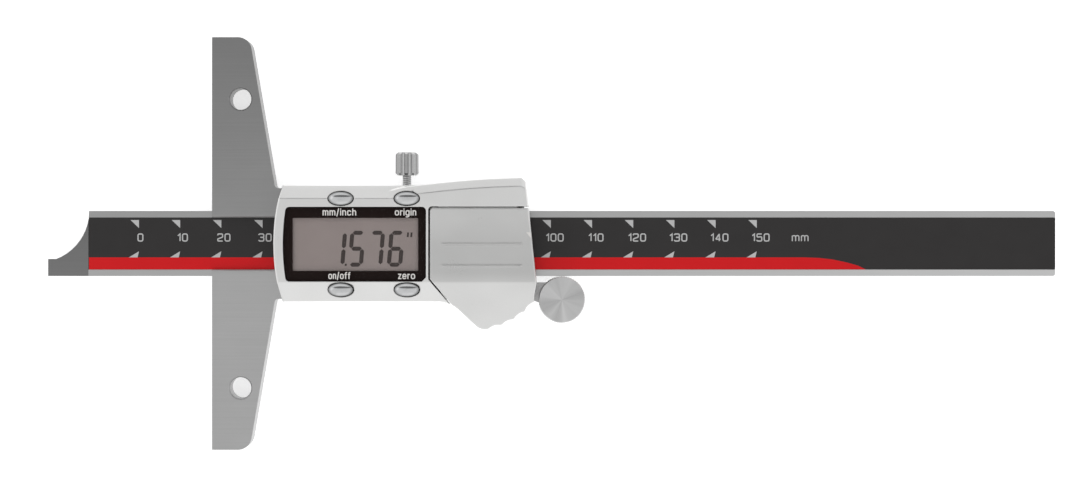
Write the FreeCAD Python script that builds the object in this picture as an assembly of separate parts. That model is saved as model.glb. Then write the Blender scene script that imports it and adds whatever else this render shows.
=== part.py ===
import FreeCAD, Part
import math
import os

# Digital depth gauge lying on its back, in millimetres.
# X runs along the beam away from the measuring face, Y across it and Z up through the display.
# The origin is the centre of the measuring face of the base.

# Fits and cuts
OVERRUN = 1.0
SLIDE_CLEARANCE = 0.03
BORE_CLEARANCE = 0.05
BUTTON_CLEARANCE = 0.2
BODY_GAP = 0.35
FLOOR_MARGIN = 0.05

# Base, which the slider frame grows out of
BASE_LENGTH = 100.0
BASE_END_DEPTH = 9.1
BASE_ROOT_DEPTH = 15.3
BASE_CORNER_RADIUS = 3.3
BASE_ROOT_FILLET = 1.0
HOLE_SPACING = 70.0
HOLE_INSET = 6.9
HOLE_RADIUS = 2.6
HOLE_CHAMFER = 0.28

# Slider frame: walls round the slot of the beam
BACK_WALL = 1.6
SIDE_WALL = 5.5
LIP_THICKNESS = 1.24
LIP_REACH = 1.54
SLOT_CHAMFER = 0.3
FRAME_SIDE_INSET = 0.55

# Beam with its hooked tip
BEAM_THICKNESS = 3.6
BEAM_REAR_MARGIN = 19.0
BEAM_END_CHAMFER = 0.4
READING = 40.03
FULL_READING = 150.0
HOOK_EASE = 0.84
HOOK_CENTRE_OUTSIDE = 2.52
TIP_HEIGHT = 4.14
TIP_LENGTH = 9.83
TIP_RELIEF = 0.3

# Scale in the front of the beam
SCALE_MARGIN = 1.575
SCALE_BOARD_THICKNESS = 0.6
OVERLAY_THICKNESS = 0.3
SCALE_START = 0.1

# Gib and the screws that set it
GIB_THICKNESS = 0.94
GIB_EDGE = 0.2
GIB_INSET = 2.0
GIB_SCREW_RADIUS = 0.8
GIB_SCREW_RECESS = 0.93
GIB_SCREW_SHARES = (0.4, 0.85)
GIB_SOCKET_RADIUS = 0.45
GIB_SOCKET_DEPTH = 1.0

# Stop screw near the far end of the beam
STOP_SCREW_RADIUS = 1.0
STOP_SHANK_RADIUS = 0.6
STOP_HEAD_HEIGHT = 0.7
STOP_FLOOR = 0.9

# Coin cell, which sets the width and height of the case
CELL_RADIUS = 10.0
CELL_THICKNESS = 3.2
CELL_LIFT = 0.65
CELL_GAP = 0.3
CELL_UPPER_GAP = 0.13
CELL_SIDE_ROOM = 3.95
CELL_TOP_ROOM = 1.85
CELL_CAN_STEP = 0.9
CELL_CAN_THICKNESS = 0.5

# Die-cast case: housing and battery cover share its outer form
GASKET_THICKNESS = 0.4
CASE_STANDOFF = 0.38
CASE_LEFT_BOW = 2.12
CASE_WALL = 1.1
CASE_END_ROOM = 0.995
CASE_OVERHANG = 2.12
CASE_RIGHT_LEAN_SHARE = 0.1065
TOP_SLOPE_WIDTH = 3.15
TOP_SLOPE_SHARE = 0.62
BOTTOM_SLOPE_WIDTH = 4.75
BOTTOM_SLOPE_SHARE = 0.44
CASE_EDGE_RADIUS = 0.45

# Bulge over the upper right of the case
BULGE_RUN_UP = 8.9
BULGE_KNEE_BACK = 2.2
BULGE_END_INSET = 2.62
BULGE_START_INSET = 1.85
BULGE_KNEE_RISE = 0.07
BULGE_RISE = 1.85
BULGE_BOW = 0.35
BULGE_RIM_DROP = 1.05
BULGE_SLOPE_WIDTH = 2.1
BULGE_CORNER = 0.9
BULGE_FOOT_INSET = 4.55

# Thumb grip, measured back from the right end of the case and out from its side
GRIP_START_BACK = 22.94
GRIP_NECK_BACK = 17.55
GRIP_NECK_REACH = 2.25
GRIP_NECK_BOW = 0.62
GRIP_FLANK_BACK = 13.46
GRIP_FLANK_REACH = 6.14
GRIP_TIP_BACK = 10.63
GRIP_TIP_REACH = 6.67
GRIP_TIP_BOW = 0.32
GRIP_CORNER_OVERHANG = 0.37
GRIP_CORNER_REACH = 0.1
GRIP_BOW = 1.15
GRIP_SHOULDER_INSET = 1.4
GRIP_WALL = 1.3
SCALLOP_COUNT = 4
SCALLOP_DEPTH = 0.42

# Parting line between housing and battery cover
PARTING_BRIDGE = 0.8
PARTING_INSET = 5.27
PARTING_BEND_INSET = 5.41
PARTING_FOOT_SHIFT = 5.3
PARTING_FOOT_REACH = 0.95
PARTING_GAP = 0.45
PARTING_CORNER = 0.9
COVER_FLOOR_GAP = 0.7
COVER_WALL = 1.3
RIB_START_INSET = 2.9
RIB_END_INSET = 2.42
RIB_SPACING = 5.18
RIB_DROP = 0.18
RIB_WIDTH = 0.5
RIB_HEIGHT = 0.3

# Rails of the battery cover
RAIL_HEIGHT = 1.0
RAIL_REACH = 0.85
RAIL_CLEARANCE = 0.05
RAIL_START_INSET = 2.0
RAIL_END_INSET = 0.525
UPPER_RAIL_ABOVE_CELL = 0.35
LOWER_RAIL_LIFT = 1.25
LOWER_RAIL_INSET = 2.7

# Window and display
WINDOW_INSET = 2.39
WINDOW_LENGTH = 34.13
WINDOW_LEFT_BOW = 0.73
WINDOW_TOP_GAP = 0.475
WINDOW_BOTTOM_GAP = 0.445
WINDOW_CORNER = 1.0
WINDOW_THICKNESS = 1.0
WINDOW_RECESS = 0.15
WINDOW_FIT = 0.05
LEDGE_THICKNESS = 0.6
VIEW_LEFT_INSET = 2.23
VIEW_RIGHT_INSET = 1.86
VIEW_TOP_INSET = 2.6
VIEW_BOTTOM_INSET = 2.49
VIEW_MARGIN = 0.35
LCD_THICKNESS = 1.7
LCD_MARGIN_X = 1.1
LCD_MARGIN_Y = 1.4
LCD_FIT = 0.15
CEILING_DROP = 0.7

# Boards and what they carry
MAIN_BOARD_THICKNESS = 1.0
BOARD_FIT = 0.45
SENSOR_BOARD_THICKNESS = 0.8
SENSOR_BOARD_FIT = 0.16
SENSOR_START_INSET = 2.32
SENSOR_END_INSET = 1.6
SENSOR_AIR_GAP = 0.32
STRIP_WIDTH = 1.2
STRIP_HEIGHT = 1.7
STRIP_INSET = 2.12
FRAME_RING_WALL = 0.6
CHIP_SIZE = 7.0
CHIP_HEIGHT = 1.0
HEADER_LENGTH = 9.0
HEADER_WIDTH = 2.5
HEADER_INSET = 10.9
SWITCH_LENGTH = 3.6
SWITCH_WIDTH = 2.8
SWITCH_HEIGHT = 0.6
PLUNGER_SIZE = 1.5
PLUNGER_HEIGHT = 0.35

# Push buttons
BUTTON_LENGTH = 5.9
BUTTON_WIDTH = 3.15
BUTTON_DOME = 0.6
BUTTON_TRAVEL = 0.5
BUTTON_STAND = 0.15
BUTTON_SPACING = 15.79
BUTTON_END_GAP = 0.725
UPPER_BUTTON_GAP = 0.32
LOWER_BUTTON_GAP = 0.04
FLANGE_LONG_REACH = 0.55
FLANGE_SIDE_REACH = 0.175
FLANGE_THICKNESS = 0.6
BUTTON_FOOT_RADIUS = 0.9
BUTTON_REST_GAP = 0.1

# Battery tray and contacts
TRAY_FLOOR = 1.1
TRAY_WALL = 0.9
TRAY_WALL_DROP = 0.3
STRIP_METAL = 0.25
CONTACT_WIDTH = 4.0
CONTACT_REACH = 3.0
CONTACT_SPACING = 4.7
CONTACT_SHIFT = 0.05
CONTACT_SLOT_MARGIN = 0.3
SEAL_WIDTH = 1.2
SEAL_MARGIN = 0.9

# Housing screws, from the back
HOUSING_SCREW_RADIUS = 0.8
HOUSING_SCREW_HEAD_RADIUS = 1.5
HOUSING_SCREW_HEAD = 1.0
HOUSING_SCREW_GRIP = 0.75
LEFT_SCREW_INSET = 2.1
UPPER_SCREW_BACK = 5.6
LOWER_SCREW_BACK = 15.6
SCREW_SIDE_INSET = 2.3
BOSS_RADIUS = 1.6
BOSS_HEIGHT = 3.6

# Lock screw
LOCK_PLACE_SHARE = 0.62262
LOCK_HEAD_RADIUS = 2.85
LOCK_HEAD_HEIGHT = 5.6
LOCK_HEAD_GAP = 0.76
LOCK_HEAD_CHAMFER = 0.5
LOCK_SHANK_RADIUS = 1.02
LOCK_FLUTE_COUNT = 10
LOCK_FLUTE_RADIUS = 0.55
LOCK_PAD_LENGTH = 1.5
LOCK_PAD_GAP = 0.15

# Thumb roller and its bracket
ROLLER_STANDOFF = 9.17
ROLLER_RADIUS = 5.72
ROLLER_THICKNESS = 4.4
ROLLER_CHAMFER = 0.3
ROLLER_TOOTH_COUNT = 60
ROLLER_TOOTH_DEPTH = 0.16
ROLLER_BACK_GAP = 0.25
AXLE_RADIUS = 1.25
AXLE_DEPTH_SHARE = 0.7
BRACKET_THICKNESS = 0.8
BRACKET_WIDTH = 3.7
BRACKET_MARGIN = 0.2
BRACKET_LENGTH = 11.6
BRACKET_EYE_RADIUS = 2.7
BRACKET_HEAD_HEIGHT = 0.4
BRACKET_HEAD_RADIUS = 1.3
BRACKET_SCREW_RADIUS = 0.7
BRACKET_SCREW_DEPTH = 2.2
BRACKET_SCREW_SHARES = (0.79, 0.26)
CLIP_THICKNESS = 0.3
CLIP_RADIUS = 2.2
CLIP_GROOVE_RADIUS = 0.95
CLIP_OPENING = 1.5

# Depth of the case, worked out from the cell that it holds
CASE_HEIGHT = TRAY_FLOOR + CELL_LIFT + CELL_THICKNESS + CELL_TOP_ROOM + COVER_WALL

# Levels worked out from the stack
BODY_THICKNESS = BACK_WALL + BEAM_THICKNESS + LIP_THICKNESS + 2 * SLIDE_CLEARANCE
BACK_Z = -BODY_THICKNESS / 2
FRONT_Z = BODY_THICKNESS / 2
BEAM_BACK_Z = BACK_Z + BACK_WALL + SLIDE_CLEARANCE
BEAM_FRONT_Z = BEAM_BACK_Z + BEAM_THICKNESS
BEAM_MID_Z = (BEAM_BACK_Z + BEAM_FRONT_Z) / 2
CASE_BACK_Z = FRONT_Z + GASKET_THICKNESS
CASE_FRONT_Z = CASE_BACK_Z + CASE_HEIGHT
SCALE_FLOOR_Z = BEAM_FRONT_Z - SCALE_BOARD_THICKNESS - OVERLAY_THICKNESS
SENSOR_Z = BEAM_FRONT_Z + SENSOR_AIR_GAP
WINDOW_BACK_Z = CASE_FRONT_Z - WINDOW_RECESS - WINDOW_THICKNESS
LCD_FRONT_Z = WINDOW_BACK_Z - LEDGE_THICKNESS
LCD_BACK_Z = LCD_FRONT_Z - LCD_THICKNESS
CEILING_Z = LCD_FRONT_Z - CEILING_DROP
BOARD_FRONT_Z = LCD_BACK_Z - STRIP_HEIGHT
BOARD_BACK_Z = BOARD_FRONT_Z - MAIN_BOARD_THICKNESS
TRAY_TOP_Z = CASE_BACK_Z + TRAY_FLOOR
CELL_BACK_Z = TRAY_TOP_Z + CELL_LIFT
CELL_FRONT_Z = CELL_BACK_Z + CELL_THICKNESS
TRAY_WALL_TOP_Z = CELL_FRONT_Z - TRAY_WALL_DROP
LOWER_RAIL_Z = TRAY_TOP_Z + LOWER_RAIL_LIFT
COVER_INNER_Z = CASE_FRONT_Z - COVER_WALL
COVER_SKIRT_Z = CELL_FRONT_Z + UPPER_RAIL_ABOVE_CELL
COVER_BACK_Z = FRONT_Z + COVER_FLOOR_GAP
SWITCH_TOP_Z = BOARD_FRONT_Z + SWITCH_HEIGHT + PLUNGER_HEIGHT
BRACKET_BACK_Z = BACK_Z + BRACKET_HEAD_HEIGHT + FLOOR_MARGIN
BRACKET_FRONT_Z = BRACKET_BACK_Z + BRACKET_THICKNESS
ROLLER_BACK_Z = BRACKET_FRONT_Z + ROLLER_BACK_GAP

# Widths: the cell sets the case, the case the frame and the frame the beam
CASE_HALF = CELL_RADIUS + CELL_SIDE_ROOM
CAVITY_HALF = CASE_HALF - CASE_WALL
FRAME_HALF = CASE_HALF - FRAME_SIDE_INSET
BEAM_HALF = FRAME_HALF - SIDE_WALL
SCALE_HALF = BEAM_HALF - SCALE_MARGIN
SLOT_MOUTH_HALF = BEAM_HALF - LIP_REACH
GIB_TOP = BEAM_HALF + SLIDE_CLEARANCE + GIB_THICKNESS
SLOT_TOP = GIB_TOP + SLIDE_CLEARANCE
PLATEAU_TOP = CASE_HALF - TOP_SLOPE_WIDTH
PLATEAU_BOTTOM = BOTTOM_SLOPE_WIDTH - CASE_HALF
FLANGE_LENGTH = BUTTON_LENGTH + 2 * FLANGE_LONG_REACH
FLANGE_WIDTH = BUTTON_WIDTH + 2 * FLANGE_SIDE_REACH
UPPER_BUTTON_Y = CAVITY_HALF - UPPER_BUTTON_GAP - FLANGE_WIDTH / 2
LOWER_BUTTON_Y = LOWER_BUTTON_GAP + FLANGE_WIDTH / 2 - CAVITY_HALF
WINDOW_TOP = UPPER_BUTTON_Y - BUTTON_WIDTH / 2 - WINDOW_TOP_GAP
WINDOW_BOTTOM = LOWER_BUTTON_Y + BUTTON_WIDTH / 2 + WINDOW_BOTTOM_GAP
PARTING_Y = CASE_HALF - PARTING_INSET
PARTING_BEND_Y = PARTING_BEND_INSET - CASE_HALF
PARTING_FOOT_Y = -CASE_HALF - PARTING_FOOT_REACH
CELL_Y = PARTING_Y - CELL_UPPER_GAP - CELL_RADIUS
NEGATIVE_Y = CELL_Y - CONTACT_SHIFT
POSITIVE_Y = NEGATIVE_Y - CONTACT_SPACING
TRAY_LOW_INNER = CELL_Y - CELL_RADIUS - CELL_GAP / 2
TRAY_LOW_OUTER = BODY_GAP / 2 - FRAME_HALF
GRIP_FACE_Y = -FRAME_HALF - BODY_GAP / 2
HOUSING_SCREW_Y = FRAME_HALF - SCREW_SIDE_INSET
LOCK_HEAD_Y = CASE_HALF + BULGE_RISE + LOCK_HEAD_GAP
PAD_END = SLOT_TOP + LOCK_PAD_GAP - SLIDE_CLEARANCE + LOCK_PAD_LENGTH
ROLLER_Y = -BEAM_HALF - SLIDE_CLEARANCE - ROLLER_RADIUS
BRACKET_BOTTOM_Y = BRACKET_MARGIN - FRAME_HALF
BRACKET_TOP_Y = BRACKET_BOTTOM_Y + BRACKET_WIDTH
BRACKET_SCREW_Y = (BRACKET_TOP_Y + BRACKET_BOTTOM_Y) / 2
RIB_PLACES = (-RIB_DROP, -RIB_DROP - RIB_SPACING)

# Places along the gauge, one after another from the base: window, parting line, cell, frame end
CASE_LEFT = BASE_ROOT_DEPTH + CASE_STANDOFF
CAVITY_LEFT = CASE_LEFT + CASE_LEFT_BOW + CASE_WALL
WINDOW_LEFT = CASE_LEFT + WINDOW_INSET
WINDOW_RIGHT = WINDOW_LEFT + WINDOW_LENGTH
VIEW_LEFT = WINDOW_LEFT + VIEW_LEFT_INSET
VIEW_RIGHT = WINDOW_RIGHT - VIEW_RIGHT_INSET
VIEW_TOP = WINDOW_TOP - VIEW_TOP_INSET
VIEW_BOTTOM = WINDOW_BOTTOM + VIEW_BOTTOM_INSET
LCD_LEFT = VIEW_LEFT - LCD_MARGIN_X
LCD_RIGHT = VIEW_RIGHT + LCD_MARGIN_X
LCD_TOP = VIEW_TOP + LCD_MARGIN_Y
LCD_BOTTOM = VIEW_BOTTOM - LCD_MARGIN_Y
PARTING_X = WINDOW_RIGHT + PARTING_BRIDGE
PARTING_FOOT_X = PARTING_X + PARTING_FOOT_SHIFT
CAVITY_RIGHT = PARTING_X - PARTING_GAP / 2 - TRAY_WALL
RIGHT_COLUMN_X = CAVITY_RIGHT - BUTTON_END_GAP - FLANGE_LENGTH / 2
BUTTON_COLUMNS = (RIGHT_COLUMN_X - BUTTON_SPACING, RIGHT_COLUMN_X)
HEADER_X = CAVITY_RIGHT - HEADER_INSET
CHIP_X = HEADER_X - (HEADER_LENGTH + CHIP_SIZE) / 2 - BODY_GAP
CELL_X = CAVITY_RIGHT + TRAY_WALL + SEAL_WIDTH + CELL_GAP + CELL_RADIUS
TRAY_RIGHT = CELL_X + CELL_RADIUS + STRIP_METAL
CASE_RIGHT = TRAY_RIGHT + TRAY_WALL + CASE_END_ROOM + COVER_WALL
FRAME_LENGTH = CASE_RIGHT - CASE_OVERHANG
BULGE_KNEE = PARTING_X - BULGE_KNEE_BACK
RAIL_START = PARTING_X + RAIL_START_INSET
RAIL_END = TRAY_RIGHT - RAIL_END_INSET
LOWER_RAIL_START = PARTING_FOOT_X + LOWER_RAIL_INSET
LOCK_X = FRAME_LENGTH * LOCK_PLACE_SHARE
GIB_SCREW_PLACES = [FRAME_LENGTH * share for share in GIB_SCREW_SHARES]
ROLLER_X = FRAME_LENGTH + ROLLER_STANDOFF
BRACKET_START = FRAME_LENGTH - BRACKET_LENGTH
BRACKET_SCREW_PLACES = [FRAME_LENGTH - BRACKET_LENGTH * share for share in BRACKET_SCREW_SHARES]
BEAM_START = -READING
BEAM_END = BEAM_START + FRAME_LENGTH + FULL_READING + BEAM_REAR_MARGIN
TIP_END = BEAM_START + TIP_LENGTH
STOP_SCREW_X = BEAM_END - BEAM_REAR_MARGIN + STOP_SCREW_RADIUS + BODY_GAP
STOP_SHANK_LENGTH = BEAM_THICKNESS - SCALE_BOARD_THICKNESS - OVERLAY_THICKNESS - STOP_FLOOR
HOUSING_SCREW_LENGTH = BODY_THICKNESS - FLOOR_MARGIN - HOUSING_SCREW_HEAD
HOUSING_SCREW_LENGTH += GASKET_THICKNESS + HOUSING_SCREW_GRIP
SCREW_SPOTS = (
    (CAVITY_LEFT + LEFT_SCREW_INSET, HOUSING_SCREW_Y),
    (CAVITY_LEFT + LEFT_SCREW_INSET, -HOUSING_SCREW_Y),
    (FRAME_LENGTH - UPPER_SCREW_BACK, HOUSING_SCREW_Y),
    (FRAME_LENGTH - LOWER_SCREW_BACK, -HOUSING_SCREW_Y),
)
X_AXIS = FreeCAD.Vector(1, 0, 0)
Y_AXIS = FreeCAD.Vector(0, 1, 0)
Z_AXIS = FreeCAD.Vector(0, 0, 1)


def vec(x, y, z):
    """Point or direction."""
    return FreeCAD.Vector(x, y, z)


def block(xs, ys, zs):
    """Box between pairs of low and high coordinates."""
    return Part.makeBox(xs[1] - xs[0], ys[1] - ys[0], zs[1] - zs[0], vec(xs[0], ys[0], zs[0]))


def upright(radius, centre, zs):
    """Cylinder along Z."""
    return Part.makeCylinder(radius, zs[1] - zs[0], vec(centre[0], centre[1], zs[0]), Z_AXIS)


def crosswise(radius, centre, ys):
    """Cylinder along Y, its centre given in X and Z."""
    return Part.makeCylinder(radius, ys[1] - ys[0], vec(centre[0], ys[0], centre[1]), Y_AXIS)


def bowed(start, end, bow):
    """Middle point of an arc that bows to the right of the way from start to end."""
    length = math.hypot(end[0] - start[0], end[1] - start[1])
    across = ((end[1] - start[1]) / length, -(end[0] - start[0]) / length)
    return tuple((start[i] + end[i]) / 2 + bow * across[i] for i in range(2))


def wire_at(start, steps, z):
    """Closed wire: a step is an end point, or an end point and how far its arc bows."""
    here = start
    edges = []
    for end, bow in list(steps) + [(start, 0)]:
        if bow:
            middle = bowed(here, end, bow)
            edges.append(Part.Arc(vec(*here, z), vec(*middle, z), vec(*end, z)).toShape())
        else:
            edges.append(Part.LineSegment(vec(*here, z), vec(*end, z)).toShape())
        here = end
    return Part.Wire(edges)


def prism(start, steps, zs):
    """Straight-sided solid over a closed outline."""
    return Part.Face(wire_at(start, steps, zs[0])).extrude(vec(0, 0, zs[1] - zs[0]))


def corners(points):
    """Straight steps to a list of points."""
    return [(point, 0) for point in points]


def plate(points, zs):
    """Straight-sided solid over a polygon."""
    return prism(points[0], corners(points[1:]), zs)


def oval(length, width, centre, zs):
    """Upright solid of elliptical section."""
    ellipse = Part.Ellipse(vec(centre[0], centre[1], zs[0]), length / 2, width / 2)
    return Part.Face(Part.Wire([ellipse.toShape()])).extrude(vec(0, 0, zs[1] - zs[0]))


def ramp(y_edge, direction, share, z_edge, xs):
    """Wedge that cuts a slope falling by share from the line at y_edge, z_edge."""
    reach = direction * BASE_LENGTH
    profile = [vec(xs[0], y_edge, z_edge), vec(xs[0], y_edge + reach, z_edge - share * BASE_LENGTH)]
    profile.append(vec(xs[0], y_edge + reach, z_edge + CASE_HEIGHT))
    profile.append(vec(xs[0], y_edge, z_edge + CASE_HEIGHT))
    face = Part.Face(Part.makePolygon(profile + profile[:1]))
    return face.extrude(vec(xs[1] - xs[0], 0, 0))


def upright_edges(solid, spots, reach):
    """Edges along Z that stand within reach of one of the spots."""
    found = []
    for edge in solid.Edges:
        ends = [vertex.Point for vertex in edge.Vertexes]
        if len(ends) == 2 and math.hypot(ends[0].x - ends[1].x, ends[0].y - ends[1].y) < SLIDE_CLEARANCE:
            if any(math.hypot(ends[0].x - x, ends[0].y - y) < reach for x, y in spots):
                found.append(edge)
    return found


def right_edge(y):
    """X of the leaning right end of the case."""
    return CASE_RIGHT - CASE_RIGHT_LEAN_SHARE * y


# Steel parts


def base_frame():
    """Base with the slider frame and its T-slot, cut from one piece."""
    half = BASE_LENGTH / 2
    points = [(0, -half), (BASE_END_DEPTH, -half), (BASE_ROOT_DEPTH, -FRAME_HALF)]
    points += [(FRAME_LENGTH, -FRAME_HALF), (FRAME_LENGTH, FRAME_HALF)]
    points += [(BASE_ROOT_DEPTH, FRAME_HALF), (BASE_END_DEPTH, half), (0, half)]
    body = plate(points, (BACK_Z, FRONT_Z))
    ends = [(BASE_END_DEPTH, -half), (BASE_END_DEPTH, half)]
    roots = [(BASE_ROOT_DEPTH, -FRAME_HALF), (BASE_ROOT_DEPTH, FRAME_HALF)]
    body = body.makeFillet(BASE_CORNER_RADIUS, upright_edges(body, ends, BASE_ROOT_FILLET))
    body = body.makeFillet(BASE_ROOT_FILLET, upright_edges(body, roots, BASE_ROOT_FILLET))
    body = body.cut(t_slot())
    for side in (-1, 1):
        body = body.cut(base_hole(side * HOLE_SPACING / 2))
    for x, y in SCREW_SPOTS:
        body = body.cut(housing_screw_bore(x, y))
    for x in GIB_SCREW_PLACES:
        bore = GIB_SCREW_RADIUS + BORE_CLEARANCE
        body = body.cut(crosswise(bore, (x, BEAM_MID_Z), (GIB_TOP, FRAME_HALF + OVERRUN)))
    bore = LOCK_SHANK_RADIUS + BORE_CLEARANCE
    body = body.cut(crosswise(bore, (LOCK_X, BEAM_MID_Z), (GIB_TOP, FRAME_HALF + OVERRUN)))
    return body.cut(bracket_seat())


def t_slot():
    """Channel for the beam, open at the front between two lips with broken edges."""
    xs = (-OVERRUN, FRAME_LENGTH + OVERRUN)
    low = -BEAM_HALF - SLIDE_CLEARANCE
    channel = block(xs, (low, SLOT_TOP), (BACK_Z + BACK_WALL, BEAM_FRONT_Z + SLIDE_CLEARANCE))
    half = SLOT_MOUTH_HALF
    mouth = block(xs, (-half, half), (BEAM_MID_Z, FRONT_Z + OVERRUN))
    wide = half + SLOT_CHAMFER + OVERRUN
    deep = FRONT_Z - SLOT_CHAMFER
    points = [(-half, deep), (-wide, FRONT_Z + OVERRUN), (wide, FRONT_Z + OVERRUN), (half, deep)]
    polygon = [vec(xs[0], y, z) for y, z in points + points[:1]]
    chamfer = Part.Face(Part.makePolygon(polygon)).extrude(vec(xs[1] - xs[0], 0, 0))
    return channel.fuse([mouth, chamfer]).removeSplitter()


def base_hole(y):
    """Through hole of the base with both rims broken."""
    centre = (HOLE_INSET, y)
    hole = upright(HOLE_RADIUS, centre, (BACK_Z - OVERRUN, FRONT_Z + OVERRUN))
    wide = HOLE_RADIUS + HOLE_CHAMFER
    for z, way in ((FRONT_Z, 1), (BACK_Z, -1)):
        inner = vec(HOLE_INSET, y, z - way * HOLE_CHAMFER)
        hole = hole.fuse(Part.makeCone(HOLE_RADIUS, wide, HOLE_CHAMFER, inner, vec(0, 0, way)))
    return hole


def housing_screw_bore(x, y):
    """Counterbored hole for a housing screw, from the back."""
    shank = HOUSING_SCREW_RADIUS + BORE_CLEARANCE
    head = HOUSING_SCREW_HEAD_RADIUS + BORE_CLEARANCE
    bore = upright(shank, (x, y), (BACK_Z - OVERRUN, FRONT_Z + OVERRUN))
    seat = BACK_Z + FLOOR_MARGIN + HOUSING_SCREW_HEAD
    return bore.fuse(upright(head, (x, y), (BACK_Z - OVERRUN, seat)))


def bracket_seat():
    """Milled seat for the roller bracket and the bores of its screws, in the back of the frame."""
    xs = (BRACKET_START - BRACKET_MARGIN, FRAME_LENGTH + OVERRUN)
    ys = (BRACKET_BOTTOM_Y - BRACKET_MARGIN - OVERRUN, BRACKET_TOP_Y + BRACKET_MARGIN)
    seat = block(xs, ys, (BACK_Z - OVERRUN, BRACKET_FRONT_Z))
    for x in BRACKET_SCREW_PLACES:
        centre = (x, BRACKET_SCREW_Y)
        top = BRACKET_FRONT_Z + BRACKET_SCREW_DEPTH + BORE_CLEARANCE
        bore = upright(BRACKET_SCREW_RADIUS + BORE_CLEARANCE, centre, (BACK_Z, top))
        seat = seat.fuse(bore)
    return seat


def beam():
    """Beam with a hooked tip, a recess for the scale and a tapped hole for the stop screw."""
    centre_x = BEAM_START - HOOK_CENTRE_OUTSIDE
    tip_y = TIP_HEIGHT - BEAM_HALF
    drop = BEAM_HALF - tip_y
    radius = drop + HOOK_EASE
    hook_end = (centre_x + math.sqrt(radius ** 2 - drop ** 2), tip_y)
    hook_top = (centre_x + radius, BEAM_HALF)
    chord = math.hypot(hook_top[0] - hook_end[0], drop)
    bow = radius - math.sqrt(radius ** 2 - (chord / 2) ** 2)
    steps = corners([(BEAM_START, -BEAM_HALF), (BEAM_END, -BEAM_HALF), (BEAM_END, BEAM_HALF), hook_top])
    steps.append((hook_end, -bow))
    body = prism((BEAM_START, tip_y), steps, (BEAM_BACK_Z, BEAM_FRONT_Z))
    far_corners = [(BEAM_END, -BEAM_HALF), (BEAM_END, BEAM_HALF)]
    body = body.makeChamfer(BEAM_END_CHAMFER, upright_edges(body, far_corners, BEAM_END_CHAMFER))
    reach = (BEAM_START - OVERRUN, TIP_END)
    across = (-BEAM_HALF - OVERRUN, BEAM_HALF + OVERRUN)
    body = body.cut(block(reach, across, (BEAM_FRONT_Z - TIP_RELIEF, BEAM_FRONT_Z + OVERRUN)))
    body = body.cut(block(reach, across, (BEAM_BACK_Z - OVERRUN, BEAM_BACK_Z + TIP_RELIEF)))
    recess_z = (SCALE_FLOOR_Z, BEAM_FRONT_Z + OVERRUN)
    recess = block((TIP_END, BEAM_END + OVERRUN), (-SCALE_HALF, SCALE_HALF), recess_z)
    body = body.cut(recess)
    top = BEAM_BACK_Z + STOP_SHANK_LENGTH + BORE_CLEARANCE
    hole = upright(STOP_SHANK_RADIUS + BORE_CLEARANCE, (STOP_SCREW_X, 0), (BEAM_BACK_Z - OVERRUN, top))
    return body.cut(hole)


def scale_strip(zs):
    """One layer of the scale, in the recess of the beam."""
    half = SCALE_HALF - SLIDE_CLEARANCE
    return block((TIP_END + SCALE_START, BEAM_END), (-half, half), zs)


def beam_stop_screw():
    """Screw whose head keeps the beam from leaving the frame."""
    centre = (STOP_SCREW_X, 0)
    head = upright(STOP_SCREW_RADIUS, centre, (BEAM_BACK_Z - STOP_HEAD_HEIGHT, BEAM_BACK_Z))
    shank = upright(STOP_SHANK_RADIUS, centre, (BEAM_BACK_Z, BEAM_BACK_Z + STOP_SHANK_LENGTH))
    return head.fuse(shank)


def gib_strip():
    """Bronze strip between the beam and the upper wall of the slot."""
    zs = (BEAM_BACK_Z + GIB_EDGE, BEAM_FRONT_Z - GIB_EDGE)
    return block((GIB_INSET, FRAME_LENGTH - GIB_INSET), (GIB_TOP - GIB_THICKNESS, GIB_TOP), zs)


def gib_screws():
    """Grub screws that set the gib, with a socket in their outer ends."""
    screws = []
    for x in GIB_SCREW_PLACES:
        end = FRAME_HALF - GIB_SCREW_RECESS
        screw = crosswise(GIB_SCREW_RADIUS, (x, BEAM_MID_Z), (GIB_TOP, end))
        socket = crosswise(GIB_SOCKET_RADIUS, (x, BEAM_MID_Z), (end - GIB_SOCKET_DEPTH, end + OVERRUN))
        screws.append(screw.cut(socket))
    return Part.makeCompound(screws)


# Die-cast case


def case_outline(zs):
    """Case over its whole length, with the scalloped thumb grip at the lower right."""
    start = (CASE_LEFT + CASE_LEFT_BOW, CASE_HALF)
    steps = [((CASE_LEFT + CASE_LEFT_BOW, -CASE_HALF), CASE_LEFT_BOW)]
    steps.append(((CASE_RIGHT - GRIP_START_BACK, -CASE_HALF), 0))
    steps.append((grip_point(GRIP_NECK_BACK, GRIP_NECK_REACH), -GRIP_NECK_BOW))
    steps.append((grip_point(GRIP_FLANK_BACK, GRIP_FLANK_REACH), 0))
    steps.append((grip_point(GRIP_TIP_BACK, GRIP_TIP_REACH), GRIP_TIP_BOW))
    tips = scallop_tips()
    steps += [(tip, -SCALLOP_DEPTH) for tip in tips[1:]]
    shoulder = grip_point(-GRIP_CORNER_OVERHANG, -GRIP_SHOULDER_INSET)
    steps += corners([shoulder, (right_edge(PLATEAU_BOTTOM), PLATEAU_BOTTOM)])
    steps.append(((right_edge(CASE_HALF), CASE_HALF), 0))
    return prism(start, steps, zs)


def grip_point(back, reach):
    """Point of the grip, back from the right end of the case and out from its side."""
    return (CASE_RIGHT - back, -CASE_HALF - reach)


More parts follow.
